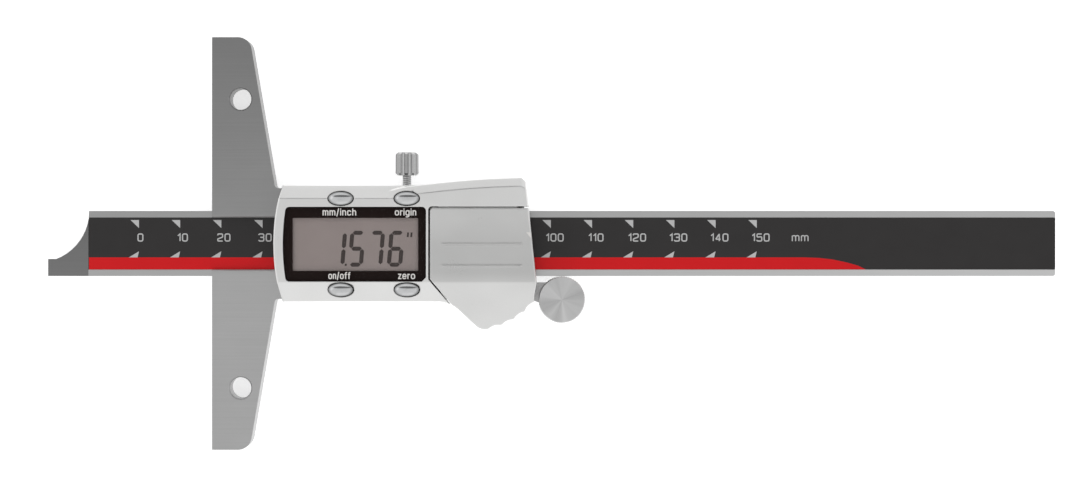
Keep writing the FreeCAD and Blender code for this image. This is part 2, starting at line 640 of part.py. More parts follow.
def scallop_tips():
    """Points between the scallops, evenly spaced on the arc of the grip."""
    start = grip_point(GRIP_TIP_BACK, GRIP_TIP_REACH)
    end = grip_point(-GRIP_CORNER_OVERHANG, GRIP_CORNER_REACH)
    middle = bowed(start, end, GRIP_BOW)
    arc = Part.Arc(vec(*start, 0), vec(*middle, 0), vec(*end, 0))
    span = arc.LastParameter - arc.FirstParameter
    tips = [arc.value(arc.FirstParameter + span * i / SCALLOP_COUNT) for i in range(SCALLOP_COUNT + 1)]
    tips = [(tip.x, tip.y) for tip in tips]
    if math.hypot(tips[0][0] - start[0], tips[0][1] - start[1]) > SCALLOP_DEPTH:
        tips.reverse()
    return tips


def case_form():
    """Outer form of housing and cover together: plateau, long slopes and bulge, with rounded edges."""
    zs = (CASE_BACK_Z, CASE_FRONT_Z)
    xs = (0, BASE_LENGTH)
    form = case_outline(zs)
    form = form.cut(ramp(PLATEAU_TOP, 1, TOP_SLOPE_SHARE, CASE_FRONT_Z, xs))
    form = form.cut(ramp(PLATEAU_BOTTOM, -1, BOTTOM_SLOPE_SHARE, CASE_FRONT_Z, xs))
    form = form.fuse(bulge()).removeSplitter()
    above = CASE_BACK_Z + CASE_EDGE_RADIUS
    edges = [edge for edge in form.Edges if max(vertex.Z for vertex in edge.Vertexes) > above]
    return form.makeFillet(CASE_EDGE_RADIUS, edges)


def bulge_wire(inward, z):
    """Section of the bulge: its foot inside the case and its bowed upper edge."""
    knee = (BULGE_KNEE, CASE_HALF + BULGE_KNEE_RISE - inward)
    end = (CASE_RIGHT - BULGE_END_INSET, CASE_HALF + BULGE_RISE - inward)
    corner_y = end[1] - BULGE_CORNER
    start_x = BULGE_KNEE - BULGE_RUN_UP
    foot = CASE_HALF - BULGE_FOOT_INSET
    steps = [((right_edge(foot), foot), 0)]
    steps.append(((right_edge(corner_y), corner_y), 0))
    steps.append((end, 0))
    steps.append((knee, BULGE_BOW))
    steps.append(((start_x, CASE_HALF - BULGE_START_INSET - inward), BULGE_BOW))
    return wire_at((start_x, foot), steps, z)


def bulge():
    """Raised shoulder over the battery side, with a sloping face above a straight rim."""
    rim_z = CASE_FRONT_Z - BULGE_RIM_DROP
    rim = bulge_wire(0, rim_z)
    crown = bulge_wire(BULGE_SLOPE_WIDTH, CASE_FRONT_Z)
    wall = Part.Face(bulge_wire(0, CASE_BACK_Z)).extrude(vec(0, 0, rim_z - CASE_BACK_Z))
    return wall.fuse(Part.makeLoft([rim, crown], True, True)).removeSplitter()


def cover_zone(shift, zs):
    """Region to the lower right of the parting line, moved into the cover by shift."""
    far = BASE_LENGTH
    top = PARTING_Y - shift
    left = PARTING_X + shift
    foot = PARTING_FOOT_X + shift
    points = [(left, PARTING_BEND_Y), (foot, PARTING_FOOT_Y), (foot, -far)]
    points += [(far, -far), (far, top), (left, top)]
    zone = plate(points, zs)
    return zone.makeFillet(PARTING_CORNER, upright_edges(zone, [(left, top)], PARTING_CORNER))


def front_housing():
    """Die-cast housing: window pocket, button holes, cavity, battery tray and screw bosses."""
    zs = (CASE_BACK_Z - OVERRUN, CASE_FRONT_Z + OVERRUN)
    body = case_form().cut(button_holes((BOARD_FRONT_Z, zs[1])))
    body = body.cut(window_plate(WINDOW_FIT, (WINDOW_BACK_Z, zs[1])))
    body = body.cut(cover_zone(-PARTING_GAP / 2, zs))
    body = body.cut(block((CAVITY_LEFT, CAVITY_RIGHT), (-CAVITY_HALF, CAVITY_HALF), (zs[0], CEILING_Z)))
    body = body.cut(lcd_space(LCD_FIT, (BOARD_FRONT_Z, LCD_FRONT_Z)))
    view_x = (VIEW_LEFT - VIEW_MARGIN, VIEW_RIGHT + VIEW_MARGIN)
    view_y = (VIEW_BOTTOM - VIEW_MARGIN, VIEW_TOP + VIEW_MARGIN)
    body = body.cut(block(view_x, view_y, (LCD_BACK_Z, zs[1])))
    body = body.fuse(battery_tray())
    body = body.cut([rail_groove_upper()] + [contact_slot(y) for y in (NEGATIVE_Y, POSITIVE_Y)])
    boss_z = (CASE_BACK_Z, CASE_BACK_Z + BOSS_HEIGHT)
    bosses = [upright(BOSS_RADIUS, spot, boss_z) for spot in SCREW_SPOTS[:2]]
    webs = [corner_web(side) for side in (-1, 1)]
    body = body.fuse(bosses + webs)
    for x, y in SCREW_SPOTS:
        top = BACK_Z + FLOOR_MARGIN + HOUSING_SCREW_HEAD + HOUSING_SCREW_LENGTH + BORE_CLEARANCE
        body = body.cut(upright(HOUSING_SCREW_RADIUS + BORE_CLEARANCE, (x, y), (zs[0], top)))
    return body.removeSplitter()


def button_holes(zs):
    """Oval holes in the front of the case, one for each button."""
    length = BUTTON_LENGTH + 2 * BUTTON_CLEARANCE
    width = BUTTON_WIDTH + 2 * BUTTON_CLEARANCE
    return [oval(length, width, centre, zs) for centre in button_places()]


def corner_web(side):
    """Web that ties a left screw boss to the end and side walls."""
    xs = (CAVITY_LEFT - CASE_WALL / 2, CAVITY_LEFT + LEFT_SCREW_INSET)
    ys = sorted((side * HOUSING_SCREW_Y, side * (CAVITY_HALF + CASE_WALL / 2)))
    return block(xs, ys, (CASE_BACK_Z, CASE_BACK_Z + BOSS_HEIGHT))


def battery_tray():
    """Floor and walls of the battery compartment, grooved for the lower rail of the cover."""
    left = CAVITY_RIGHT
    right = TRAY_RIGHT + TRAY_WALL
    top = PARTING_Y + TRAY_WALL
    floor = block((left, right), (TRAY_LOW_OUTER, top), (CASE_BACK_Z, TRAY_TOP_Z))
    walls = block((left, right), (TRAY_LOW_OUTER, PARTING_Y), (TRAY_TOP_Z, TRAY_WALL_TOP_Z))
    space_x = (left + TRAY_WALL, TRAY_RIGHT)
    walls = walls.cut(block(space_x, (TRAY_LOW_INNER, top), (CASE_BACK_Z, TRAY_WALL_TOP_Z + OVERRUN)))
    walls = walls.cut(cut_corner((TRAY_TOP_Z - OVERRUN, TRAY_WALL_TOP_Z + OVERRUN)))
    floor = floor.cut(cut_corner((CASE_BACK_Z - OVERRUN, TRAY_TOP_Z)))
    tray = floor.fuse(walls)
    groove_y = (TRAY_LOW_OUTER - OVERRUN, TRAY_LOW_OUTER + RAIL_REACH - BODY_GAP + RAIL_CLEARANCE)
    groove_z = (LOWER_RAIL_Z - RAIL_CLEARANCE, LOWER_RAIL_Z + RAIL_HEIGHT + RAIL_CLEARANCE)
    groove = block((LOWER_RAIL_START - BODY_GAP, right + OVERRUN), groove_y, groove_z)
    return tray.cut(groove)


def cut_corner(zs):
    """What the slanting foot of the parting line takes off the tray, seen from the cover's side."""
    gap = PARTING_GAP / 2
    points = [(PARTING_X - gap - TRAY_WALL - OVERRUN, PARTING_BEND_Y - BASE_LENGTH)]
    points += [(PARTING_X - gap - TRAY_WALL - OVERRUN, -FRAME_HALF), (PARTING_FOOT_X, -FRAME_HALF)]
    points.append((PARTING_FOOT_X, PARTING_BEND_Y - BASE_LENGTH))
    return plate(points, zs)


def contact_slot(y):
    """Opening for a contact strip in the wall between battery and electronics."""
    half = CONTACT_WIDTH / 2 + CONTACT_SLOT_MARGIN
    xs = (CAVITY_RIGHT - OVERRUN, CAVITY_RIGHT + TRAY_WALL + SLIDE_CLEARANCE)
    return block(xs, (y - half, y + half), (TRAY_TOP_Z, BOARD_BACK_Z + CONTACT_SLOT_MARGIN))


def rail_groove_upper():
    """Groove in the upper strip of the housing for the cover's rail."""
    xs = (RAIL_START - BODY_GAP, BASE_LENGTH)
    ys = (PARTING_Y, PARTING_Y - PARTING_GAP / 2 + RAIL_REACH + RAIL_CLEARANCE)
    zs = (COVER_SKIRT_Z - RAIL_CLEARANCE, COVER_SKIRT_Z + RAIL_HEIGHT + RAIL_CLEARANCE)
    return block(xs, ys, zs)


def battery_cover():
    """Die-cast cover with a hollow scalloped grip, two raised ribs, a skirt and two rails."""
    zs = (COVER_BACK_Z, CASE_FRONT_Z + OVERRUN)
    body = case_form().common(cover_zone(PARTING_GAP / 2, zs))
    hollow = cover_hollow((COVER_BACK_Z - OVERRUN, COVER_INNER_Z), COVER_WALL)
    slope = ramp(PLATEAU_BOTTOM, -1, BOTTOM_SLOPE_SHARE, COVER_INNER_Z, (0, BASE_LENGTH))
    body = body.cut(hollow.cut(slope))
    body = body.cut(cover_hollow((COVER_BACK_Z - OVERRUN, COVER_SKIRT_Z), 0))
    body = body.cut(grip_pocket().cut(slope))
    top = PARTING_Y - PARTING_GAP / 2
    rail_z = (COVER_SKIRT_Z, COVER_SKIRT_Z + RAIL_HEIGHT)
    upper = block((RAIL_START, RAIL_END), (top - COVER_WALL / 2, top + RAIL_REACH), rail_z)
    lower_y = (GRIP_FACE_Y - GRIP_WALL / 2, GRIP_FACE_Y + RAIL_REACH)
    lower = block((LOWER_RAIL_START, RAIL_END), lower_y, (LOWER_RAIL_Z, LOWER_RAIL_Z + RAIL_HEIGHT))
    ribs = [cover_rib(y) for y in RIB_PLACES]
    return body.fuse([upper, lower] + ribs).removeSplitter()


def cover_hollow(zs, wall):
    """Space under the cover, over the battery tray, a wall in from the parting line."""
    left = PARTING_X + wall if wall else PARTING_X - OVERRUN
    top = PARTING_Y - PARTING_GAP / 2 - wall if wall else PARTING_Y
    low = GRIP_FACE_Y
    bend = PARTING_BEND_Y + (wall if wall else 0)
    foot = PARTING_FOOT_X + wall
    points = [(left, bend), (foot, low), (right_edge(PLATEAU_BOTTOM) - COVER_WALL - GRIP_WALL, low)]
    points.append((right_edge(PLATEAU_BOTTOM) - COVER_WALL, PLATEAU_BOTTOM))
    points += [(right_edge(top) - COVER_WALL, top), (left, top)]
    if not wall:
        points[0:1] = [(left, low)]
    return plate(points, zs)


def grip_pocket():
    """Hollow in the underside of the thumb grip."""
    wall = GRIP_WALL
    points = [(CASE_RIGHT - GRIP_NECK_BACK + 2 * wall, GRIP_FACE_Y - wall)]
    points.append(grip_point(GRIP_FLANK_BACK - wall / 2, GRIP_FLANK_REACH - wall))
    points.append(grip_point(GRIP_TIP_BACK, GRIP_TIP_REACH - wall - SCALLOP_DEPTH))
    tips = scallop_tips()
    middle = tips[len(tips) // 2]
    points.append((middle[0] - wall, middle[1] + wall + SCALLOP_DEPTH))
    corner_x = CASE_RIGHT + GRIP_CORNER_OVERHANG - 2 * wall - SCALLOP_DEPTH
    points.append((corner_x, GRIP_FACE_Y - wall))
    fall = BOTTOM_SLOPE_SHARE * (BOTTOM_SLOPE_WIDTH + GRIP_TIP_REACH)
    top = CASE_FRONT_Z - fall - COVER_WALL
    return plate(points, (COVER_BACK_Z - OVERRUN, top))


def cover_rib(y):
    """Low rib with a rounded back and ends, across the plateau of the cover."""
    half = RIB_WIDTH / 2
    start = PARTING_X + RIB_START_INSET + half
    end = CASE_RIGHT - RIB_END_INSET - half
    level = CASE_FRONT_Z + RIB_HEIGHT - half
    back = Part.makeCylinder(half, end - start, vec(start, y, level), X_AXIS)
    ends = [Part.makeSphere(half, vec(x, y, level)) for x in (start, end)]
    foot = block((start, end), (y - half, y + half), (COVER_INNER_Z, level))
    return foot.fuse([back] + ends)


def cover_seal():
    """Foam ring glued inside the cover, pressed towards the battery."""
    left = PARTING_X + COVER_WALL + SEAL_MARGIN
    right = right_edge(0) - COVER_WALL - 2 * SEAL_MARGIN
    top = PARTING_Y - PARTING_GAP / 2 - COVER_WALL - SEAL_MARGIN
    low = PARTING_BEND_Y + COVER_WALL
    zs = (COVER_SKIRT_Z, COVER_INNER_Z)
    ring = block((left, right), (low, top), zs)
    inner = block((left + SEAL_WIDTH, right - SEAL_WIDTH), (low + SEAL_WIDTH, top - SEAL_WIDTH), zs)
    return ring.cut(inner)


def housing_gasket():
    """Rubber gasket between the frame and the back rim of the housing."""
    zs = (FRONT_Z, CASE_BACK_Z)
    left = CASE_LEFT + CASE_LEFT_BOW
    right = TRAY_RIGHT + TRAY_WALL
    outer = block((left, right), (TRAY_LOW_OUTER, -TRAY_LOW_OUTER), zs)
    half = CAVITY_HALF - CASE_WALL - BOSS_RADIUS
    space = block((CAVITY_LEFT + BOSS_RADIUS, CAVITY_RIGHT - CASE_WALL), (-half, half), zs)
    gasket = outer.cut(space)
    for spot in SCREW_SPOTS:
        gasket = gasket.cut(upright(HOUSING_SCREW_RADIUS + BORE_CLEARANCE, spot, zs))
    for side in (-1, 1):
        reach = sorted((side * half, side * (HOUSING_SCREW_Y + BOSS_RADIUS)))
        xs = (CAVITY_LEFT + LEFT_SCREW_INSET + 2 * BOSS_RADIUS, CAVITY_RIGHT - CASE_WALL)
        gasket = gasket.cut(block(xs, reach, zs))
    return gasket


def housing_screws():
    """Pan-head screws that hold the housing from the back of the frame."""
    screws = []
    seat = BACK_Z + FLOOR_MARGIN + HOUSING_SCREW_HEAD
    for spot in SCREW_SPOTS:
        head = upright(HOUSING_SCREW_HEAD_RADIUS, spot, (BACK_Z + FLOOR_MARGIN, seat))
        shank = upright(HOUSING_SCREW_RADIUS, spot, (seat, seat + HOUSING_SCREW_LENGTH))
        screws.append(head.fuse(shank))
    return Part.makeCompound(screws)


# Window, display and electronics


def window_plate(margin, zs):
    """Plate of the window's outline, with a bowed left end."""
    left = WINDOW_LEFT + WINDOW_LEFT_BOW - margin
    top = WINDOW_TOP + margin
    bottom = WINDOW_BOTTOM - margin
    right = WINDOW_RIGHT + margin
    steps = [((left, bottom), WINDOW_LEFT_BOW), ((right - WINDOW_CORNER, bottom), 0)]
    steps += [((right, bottom + WINDOW_CORNER), 0), ((right, top), 0)]
    body = prism((left, top), steps, zs)
    spots = [(left, top), (left, bottom), (right, top)]
    return body.makeFillet(WINDOW_CORNER, upright_edges(body, spots, WINDOW_CORNER / 2))


def lcd_space(margin, zs):
    """Box that holds the display glass, with a margin all round."""
    return block((LCD_LEFT - margin, LCD_RIGHT + margin), (LCD_BOTTOM - margin, LCD_TOP + margin), zs)


def lcd_strips():
    """Two elastomer strips that join the display to the main board."""
    xs = (LCD_LEFT + STRIP_INSET, LCD_RIGHT - STRIP_INSET)
    zs = (BOARD_FRONT_Z, LCD_BACK_Z)
    upper = block(xs, (LCD_TOP - FRAME_RING_WALL - STRIP_WIDTH, LCD_TOP - FRAME_RING_WALL), zs)
    lower = block(xs, (LCD_BOTTOM + FRAME_RING_WALL, LCD_BOTTOM + FRAME_RING_WALL + STRIP_WIDTH), zs)
    return Part.makeCompound([upper, lower])


def lcd_frame():
    """Plastic ring under the rim of the display."""
    zs = (BOARD_FRONT_Z, LCD_BACK_Z)
    return lcd_space(0, zs).cut(lcd_space(-FRAME_RING_WALL, zs))


def main_board():
    """Circuit board under the display, notched round the screw bosses."""
    half = CAVITY_HALF - BOARD_FIT
    left = CAVITY_LEFT + BOARD_FIT
    right = CAVITY_RIGHT - BOARD_FIT
    board = block((left, right), (-half, half), (BOARD_BACK_Z, BOARD_FRONT_Z))
    notch_x = CAVITY_LEFT + LEFT_SCREW_INSET + BOSS_RADIUS + BOARD_FIT
    notch_y = HOUSING_SCREW_Y - BOSS_RADIUS - BOARD_FIT
    for side in (-1, 1):
        ys = sorted((side * (half + OVERRUN), side * notch_y))
        board = board.cut(block((left - OVERRUN, notch_x), ys, (BOARD_BACK_Z, BOARD_FRONT_Z)))
    return board


def sensor_board():
    """Board over the scale, in the mouth of the slot."""
    half = SLOT_MOUTH_HALF - SENSOR_BOARD_FIT
    xs = (CASE_LEFT + SENSOR_START_INSET, FRAME_LENGTH - SENSOR_END_INSET)
    return block(xs, (-half, half), (SENSOR_Z, SENSOR_Z + SENSOR_BOARD_THICKNESS))


def board_header():
    """Pin header between the two boards."""
    xs = (HEADER_X - HEADER_LENGTH / 2, HEADER_X + HEADER_LENGTH / 2)
    zs = (SENSOR_Z + SENSOR_BOARD_THICKNESS, BOARD_BACK_Z)
    return block(xs, (-HEADER_WIDTH / 2, HEADER_WIDTH / 2), zs)


def controller_chip():
    """Controller under the main board."""
    half = CHIP_SIZE / 2
    return block((CHIP_X - half, CHIP_X + half), (-half, half), (BOARD_BACK_Z - CHIP_HEIGHT, BOARD_BACK_Z))


def button_places():
    """Centres of the four buttons."""
    return [(x, y) for y in (UPPER_BUTTON_Y, LOWER_BUTTON_Y) for x in BUTTON_COLUMNS]


def key_switches():
    """Four switches on the main board, each with a square plunger."""
    switches = []
    for x, y in button_places():
        xs = (x - SWITCH_LENGTH / 2, x + SWITCH_LENGTH / 2)
        ys = (y - SWITCH_WIDTH / 2, y + SWITCH_WIDTH / 2)
        case = block(xs, ys, (BOARD_FRONT_Z, BOARD_FRONT_Z + SWITCH_HEIGHT))
        half = PLUNGER_SIZE / 2
        top_z = (BOARD_FRONT_Z + SWITCH_HEIGHT, SWITCH_TOP_Z)
        switches.append(case.fuse(block((x - half, x + half), (y - half, y + half), top_z)))
    return Part.makeCompound(switches)


def crown_radius(half):
    """Radius of the arc that falls by the button's dome over a half length."""
    return (half ** 2 + BUTTON_DOME ** 2) / (2 * BUTTON_DOME)


def push_button(centre):
    """Oval button with a domed top, a flange under the housing and a foot over its switch."""
    top = CASE_FRONT_Z + BUTTON_STAND + BUTTON_DOME
    flange_z = CEILING_Z - BODY_GAP - FLANGE_THICKNESS
    body = oval(BUTTON_LENGTH, BUTTON_WIDTH, centre, (flange_z, CASE_FRONT_Z))
    along = crown_radius(BUTTON_LENGTH / 2)
    across = crown_radius(BUTTON_WIDTH / 2)
    pillow = Part.makeTorus(along - across, across, vec(centre[0], centre[1], top - along), Y_AXIS)
    dome = oval(BUTTON_LENGTH, BUTTON_WIDTH, centre, (CASE_FRONT_Z, top)).common(pillow)
    xs = (centre[0] - FLANGE_LENGTH / 2, centre[0] + FLANGE_LENGTH / 2)
    ys = (centre[1] - FLANGE_WIDTH / 2, centre[1] + FLANGE_WIDTH / 2)
    flange = block(xs, ys, (flange_z, flange_z + FLANGE_THICKNESS))
    foot_z = SWITCH_TOP_Z + BUTTON_TRAVEL + BUTTON_REST_GAP
    foot = upright(BUTTON_FOOT_RADIUS, centre, (foot_z, flange_z + FLANGE_THICKNESS))
    return body.fuse([dome, flange, foot]).removeSplitter()


# Battery and contacts


def battery_cell():
    """Coin cell: the can with a smaller negative face below."""
    step = CELL_BACK_Z + CELL_CAN_THICKNESS
    can = upright(CELL_RADIUS, (CELL_X, CELL_Y), (step, CELL_FRONT_Z))
    return can.fuse(upright(CELL_RADIUS - CELL_CAN_STEP, (CELL_X, CELL_Y), (CELL_BACK_Z, step)))


def bent_strip(points, y):
    """Strip of sheet metal whose upper line is given in X and Z."""
    upper = [vec(x, y - CONTACT_WIDTH / 2, z) for x, z in points]
    lower = [vec(x, y - CONTACT_WIDTH / 2, z - STRIP_METAL) for x, z in reversed(points)]
    face = Part.Face(Part.makePolygon(upper + lower + upper[:1]))
    return face.extrude(vec(0, CONTACT_WIDTH, 0))


def contact_run():
    """Upper line of a contact, from under the main board down to the tray floor."""
    start = CAVITY_RIGHT - BOARD_FIT - CONTACT_REACH
    landing = (CAVITY_RIGHT + TRAY_WALL, TRAY_TOP_Z + STRIP_METAL)
    return [(start, BOARD_BACK_Z), (CAVITY_RIGHT, BOARD_BACK_Z), landing]


def negative_contact():
    """Leaf that rises from the tray floor to the underside of the cell."""
    points = contact_run()
    points.append((CELL_X - CELL_RADIUS / 2, TRAY_TOP_Z + STRIP_METAL))
    points.append((CELL_X, CELL_BACK_Z))
    return bent_strip(points, NEGATIVE_Y)


def positive_contact():
    """Strip along the tray floor with an upright tab against the side of the cell."""
    points = contact_run()
    points.append((TRAY_RIGHT, TRAY_TOP_Z + STRIP_METAL))
    strip = bent_strip(points, POSITIVE_Y)
    xs = (TRAY_RIGHT - STRIP_METAL, TRAY_RIGHT)
    ys = (POSITIVE_Y - CONTACT_WIDTH / 2, CELL_Y + CONTACT_WIDTH / 2)
    return strip.fuse(block(xs, ys, (TRAY_TOP_Z, CELL_FRONT_Z - STRIP_METAL)))


# Lock screw


def lock_screw():
    """Thumb screw: plain shank and a fluted head with broken edges."""
    centre = (LOCK_X, BEAM_MID_Z)
    end = LOCK_HEAD_Y + LOCK_HEAD_HEIGHT
    head = crosswise(LOCK_HEAD_RADIUS, centre, (LOCK_HEAD_Y, end))
    rims = [edge for edge in head.Edges if len(edge.Vertexes) == 1]
    head = head.makeChamfer(LOCK_HEAD_CHAMFER, rims)
    flutes = []
    for i in range(LOCK_FLUTE_COUNT):
        angle = 2 * math.pi * i / LOCK_FLUTE_COUNT
        x = LOCK_X + LOCK_HEAD_RADIUS * math.cos(angle)
        z = BEAM_MID_Z + LOCK_HEAD_RADIUS * math.sin(angle)
        flutes.append(crosswise(LOCK_FLUTE_RADIUS, (x, z), (LOCK_HEAD_Y - OVERRUN, end + OVERRUN)))
    shank = crosswise(LOCK_SHANK_RADIUS, centre, (PAD_END, LOCK_HEAD_Y))
    return head.cut(flutes).fuse(shank)


def lock_pad():
    """Brass pad between the screw and the gib."""
    return crosswise(LOCK_SHANK_RADIUS, (LOCK_X, BEAM_MID_Z), (PAD_END - LOCK_PAD_LENGTH, PAD_END))


# Thumb roller


def roller_wheel():
    """Wheel with a straight knurl on its rim and a blind bore for the axle."""
    zs = (ROLLER_BACK_Z, ROLLER_BACK_Z + ROLLER_THICKNESS)
    root = ROLLER_RADIUS - ROLLER_TOOTH_DEPTH
    points = []
    for i in range(2 * ROLLER_TOOTH_COUNT):
        angle = math.pi * (i / ROLLER_TOOTH_COUNT + 1 / 2)
        radius = ROLLER_RADIUS if i % 2 == 0 else root
        points.append((ROLLER_X + radius * math.cos(angle), ROLLER_Y + radius * math.sin(angle)))
    knurl = plate(points, zs)
    disc = upright(ROLLER_RADIUS, (ROLLER_X, ROLLER_Y), zs)
    rims = [edge for edge in disc.Edges if len(edge.Vertexes) == 1]
    wheel = knurl.common(disc.makeChamfer(ROLLER_CHAMFER, rims))
    return wheel.cut(upright(AXLE_RADIUS, (ROLLER_X, ROLLER_Y), (zs[0] - OVERRUN, axle_top())))


def axle_top():
    """Level of the blind end of the wheel's bore."""
    return ROLLER_BACK_Z + ROLLER_THICKNESS * AXLE_DEPTH_SHARE


def roller_axle():
    """Axle pressed into the wheel, grooved for its clip."""
    centre = (ROLLER_X, ROLLER_Y)
    axle = upright(AXLE_RADIUS, centre, (BACK_Z + FLOOR_MARGIN, axle_top()))
    zs = clip_levels()
    groove = upright(AXLE_RADIUS + OVERRUN, centre, zs).cut(upright(CLIP_GROOVE_RADIUS, centre, zs))
    return axle.cut(groove)


def clip_levels():
    """Low and high level of the axle clip."""
    high = BRACKET_BACK_Z - FLOOR_MARGIN / 2
    return (high - CLIP_THICKNESS, high)


def roller_clip():
    """Open ring in the groove of the axle."""
    zs = clip_levels()
    centre = (ROLLER_X, ROLLER_Y)
    ring = upright(CLIP_RADIUS, centre, zs).cut(upright(CLIP_GROOVE_RADIUS, centre, zs))
    ys = (ROLLER_Y - CLIP_RADIUS - OVERRUN, ROLLER_Y)
    return ring.cut(block((ROLLER_X - CLIP_OPENING / 2, ROLLER_X + CLIP_OPENING / 2), ys, zs))


def roller_bracket():
    """Sheet arm from its seat in the frame to the eye round the axle."""
    zs = (BRACKET_BACK_Z, BRACKET_FRONT_Z)
    eye = BRACKET_EYE_RADIUS
    points = [(BRACKET_START, BRACKET_BOTTOM_Y), (FRAME_LENGTH, BRACKET_BOTTOM_Y)]
    points.append((ROLLER_X, ROLLER_Y - eye))
    points += [(ROLLER_X, ROLLER_Y + eye), (ROLLER_X - eye, BRACKET_TOP_Y), (BRACKET_START, BRACKET_TOP_Y)]
    arm = plate(points, zs).fuse(upright(eye, (ROLLER_X, ROLLER_Y), zs)).removeSplitter()
    arm = arm.cut(upright(AXLE_RADIUS + BORE_CLEARANCE, (ROLLER_X, ROLLER_Y), zs))
    for x in BRACKET_SCREW_PLACES:
        arm = arm.cut(upright(BRACKET_SCREW_RADIUS + BORE_CLEARANCE, (x, BRACKET_SCREW_Y), zs))
    return arm


def bracket_screws():
    """Two screws that hold the bracket in its seat."""
    screws = []
    for x in BRACKET_SCREW_PLACES:
        centre = (x, BRACKET_SCREW_Y)
        head = upright(BRACKET_HEAD_RADIUS, centre, (BRACKET_BACK_Z - BRACKET_HEAD_HEIGHT, BRACKET_BACK_Z))
        top = BRACKET_FRONT_Z + BRACKET_SCREW_DEPTH
        screws.append(head.fuse(upright(BRACKET_SCREW_RADIUS, centre, (BRACKET_BACK_Z, top))))
    return Part.makeCompound(screws)


def parts():
    """Every named piece of the gauge."""
    overlay_z = SCALE_FLOOR_Z + SCALE_BOARD_THICKNESS
    places = button_places()
    return {
        "base_frame": base_frame(),
        "gib_strip": gib_strip(),
        "gib_screws": gib_screws(),
        "beam": beam(),
        "scale_board": scale_strip((SCALE_FLOOR_Z, overlay_z)),
        "scale_overlay": scale_strip((overlay_z, BEAM_FRONT_Z)),
        "beam_stop_screw": beam_stop_screw(),
        "front_housing": front_housing(),
        "housing_gasket": housing_gasket(),
        "housing_screws": housing_screws(),
        "display_window": window_plate(0, (WINDOW_BACK_Z, WINDOW_BACK_Z + WINDOW_THICKNESS)),
        "lcd_panel": lcd_space(0, (LCD_BACK_Z, LCD_FRONT_Z)),
        "lcd_strips": lcd_strips(),
        "lcd_frame": lcd_frame(),
        "main_board": main_board(),
        "sensor_board": sensor_board(),
        "board_header": board_header(),
        "controller_chip": controller_chip(),
        "key_switches": key_switches(),
        "unit_button": push_button(places[0]),
        "origin_button": push_button(places[1]),
        "power_button": push_button(places[2]),
        "zero_button": push_button(places[3]),
        "battery_cell": battery_cell(),
        "negative_contact": negative_contact(),
        "positive_contact": positive_contact(),
        "battery_cover": battery_cover(),
        "cover_seal": cover_seal(),
        "lock_screw": lock_screw(),
        "lock_pad": lock_pad(),
        "roller_wheel": roller_wheel(),
        "roller_axle": roller_axle(),
        "roller_clip": roller_clip(),
        "roller_bracket": roller_bracket(),
        "bracket_screws": bracket_screws(),
    }


def main():
    """Write one STEP file for each piece."""
    os.makedirs("parts", exist_ok=True)
    for name, shape in parts().items():
        shape.exportStep("parts/" + name + ".step")
        print(name, len(shape.Solids), round(shape.Volume, 2), shape.isValid())


main()
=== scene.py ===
import logging
import math
from dataclasses import dataclass
from enum import Enum
from typing import Iterable, Sequence

import bmesh
import bpy
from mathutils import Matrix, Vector


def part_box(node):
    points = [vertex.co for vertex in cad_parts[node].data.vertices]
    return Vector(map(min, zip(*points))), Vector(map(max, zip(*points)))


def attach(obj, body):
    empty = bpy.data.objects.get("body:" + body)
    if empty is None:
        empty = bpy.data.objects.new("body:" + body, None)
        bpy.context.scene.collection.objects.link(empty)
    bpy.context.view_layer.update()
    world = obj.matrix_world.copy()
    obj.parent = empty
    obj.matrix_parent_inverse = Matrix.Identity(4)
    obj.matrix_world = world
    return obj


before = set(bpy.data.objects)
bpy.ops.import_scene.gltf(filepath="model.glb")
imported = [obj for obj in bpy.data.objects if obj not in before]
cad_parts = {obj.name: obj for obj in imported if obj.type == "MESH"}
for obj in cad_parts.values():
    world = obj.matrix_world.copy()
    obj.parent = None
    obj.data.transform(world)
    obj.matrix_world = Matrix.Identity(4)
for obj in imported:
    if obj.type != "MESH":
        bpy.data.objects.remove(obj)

log = logging.getLogger("depth_gauge")
MM = 0.001
Point = tuple[float, float]
Socket = bpy.types.NodeSocket
Tree = bpy.types.NodeTree
Mesh = bmesh.types.BMesh
TINY = 1e-9
OPENING = (0.1, 0.65)  # open share of the sky where the shade painted into a groove is full and where it ends
MITRE_LIMIT = 0.5  # least cosine at which a sharp corner of a stroke keeps its full width
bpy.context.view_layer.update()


class Axis(Enum):
    """An axis of the row frame, by its place in a vector."""

    X = 0
    Y = 1
    Z = 2


class Cap(Enum):
    """How a stroke of lettering ends, as the steps of the quarter turn that rounds it off."""

    SQUARE = 0
    ROUND = 6


def linear(colour: str) -> tuple[float, float, float, float]:
    """Turns an sRGB hex colour, with its hash, to linear red, green, blue and an alpha of 1."""
    parts = [int(colour[i:i + 2], 16) / 255 for i in (1, 3, 5)]
    red, green, blue = (v / 12.92 if v <= 0.04045 else ((v + 0.055) / 1.055) ** 2.4 for v in parts)
    return red, green, blue, 1.0


def add_node(tree: Tree, kind: str, settings: dict | None = None,
             inputs: dict | None = None) -> bpy.types.Node:
    """Adds one shader node with its settings and links.

    Args:
        tree: node tree that takes the node.
        kind: name of the node type after "ShaderNode".
        settings: node properties by name.
        inputs: values or output sockets to link, by the input's name or number.

    Returns:
        The new node.
    """
    node = tree.nodes.new("ShaderNode" + kind)
    for name, value in (settings or {}).items():
        setattr(node, name, value)
    for name, value in (inputs or {}).items():
        if isinstance(value, Socket):
            tree.links.new(value, node.inputs[name])
        else:
            node.inputs[name].default_value = value
    return node


@dataclass(frozen=True)
class Tone:
    """A change of tone across a surface, as a colour that multiplies its own.

    Attributes:
        axis: the axis along which it changes.
        start_mm: where it begins.
        end_mm: where it is full.
        colour: the multiplying colour where it is full.
    """

    axis: Axis
    start_mm: float
    end_mm: float
    colour: str


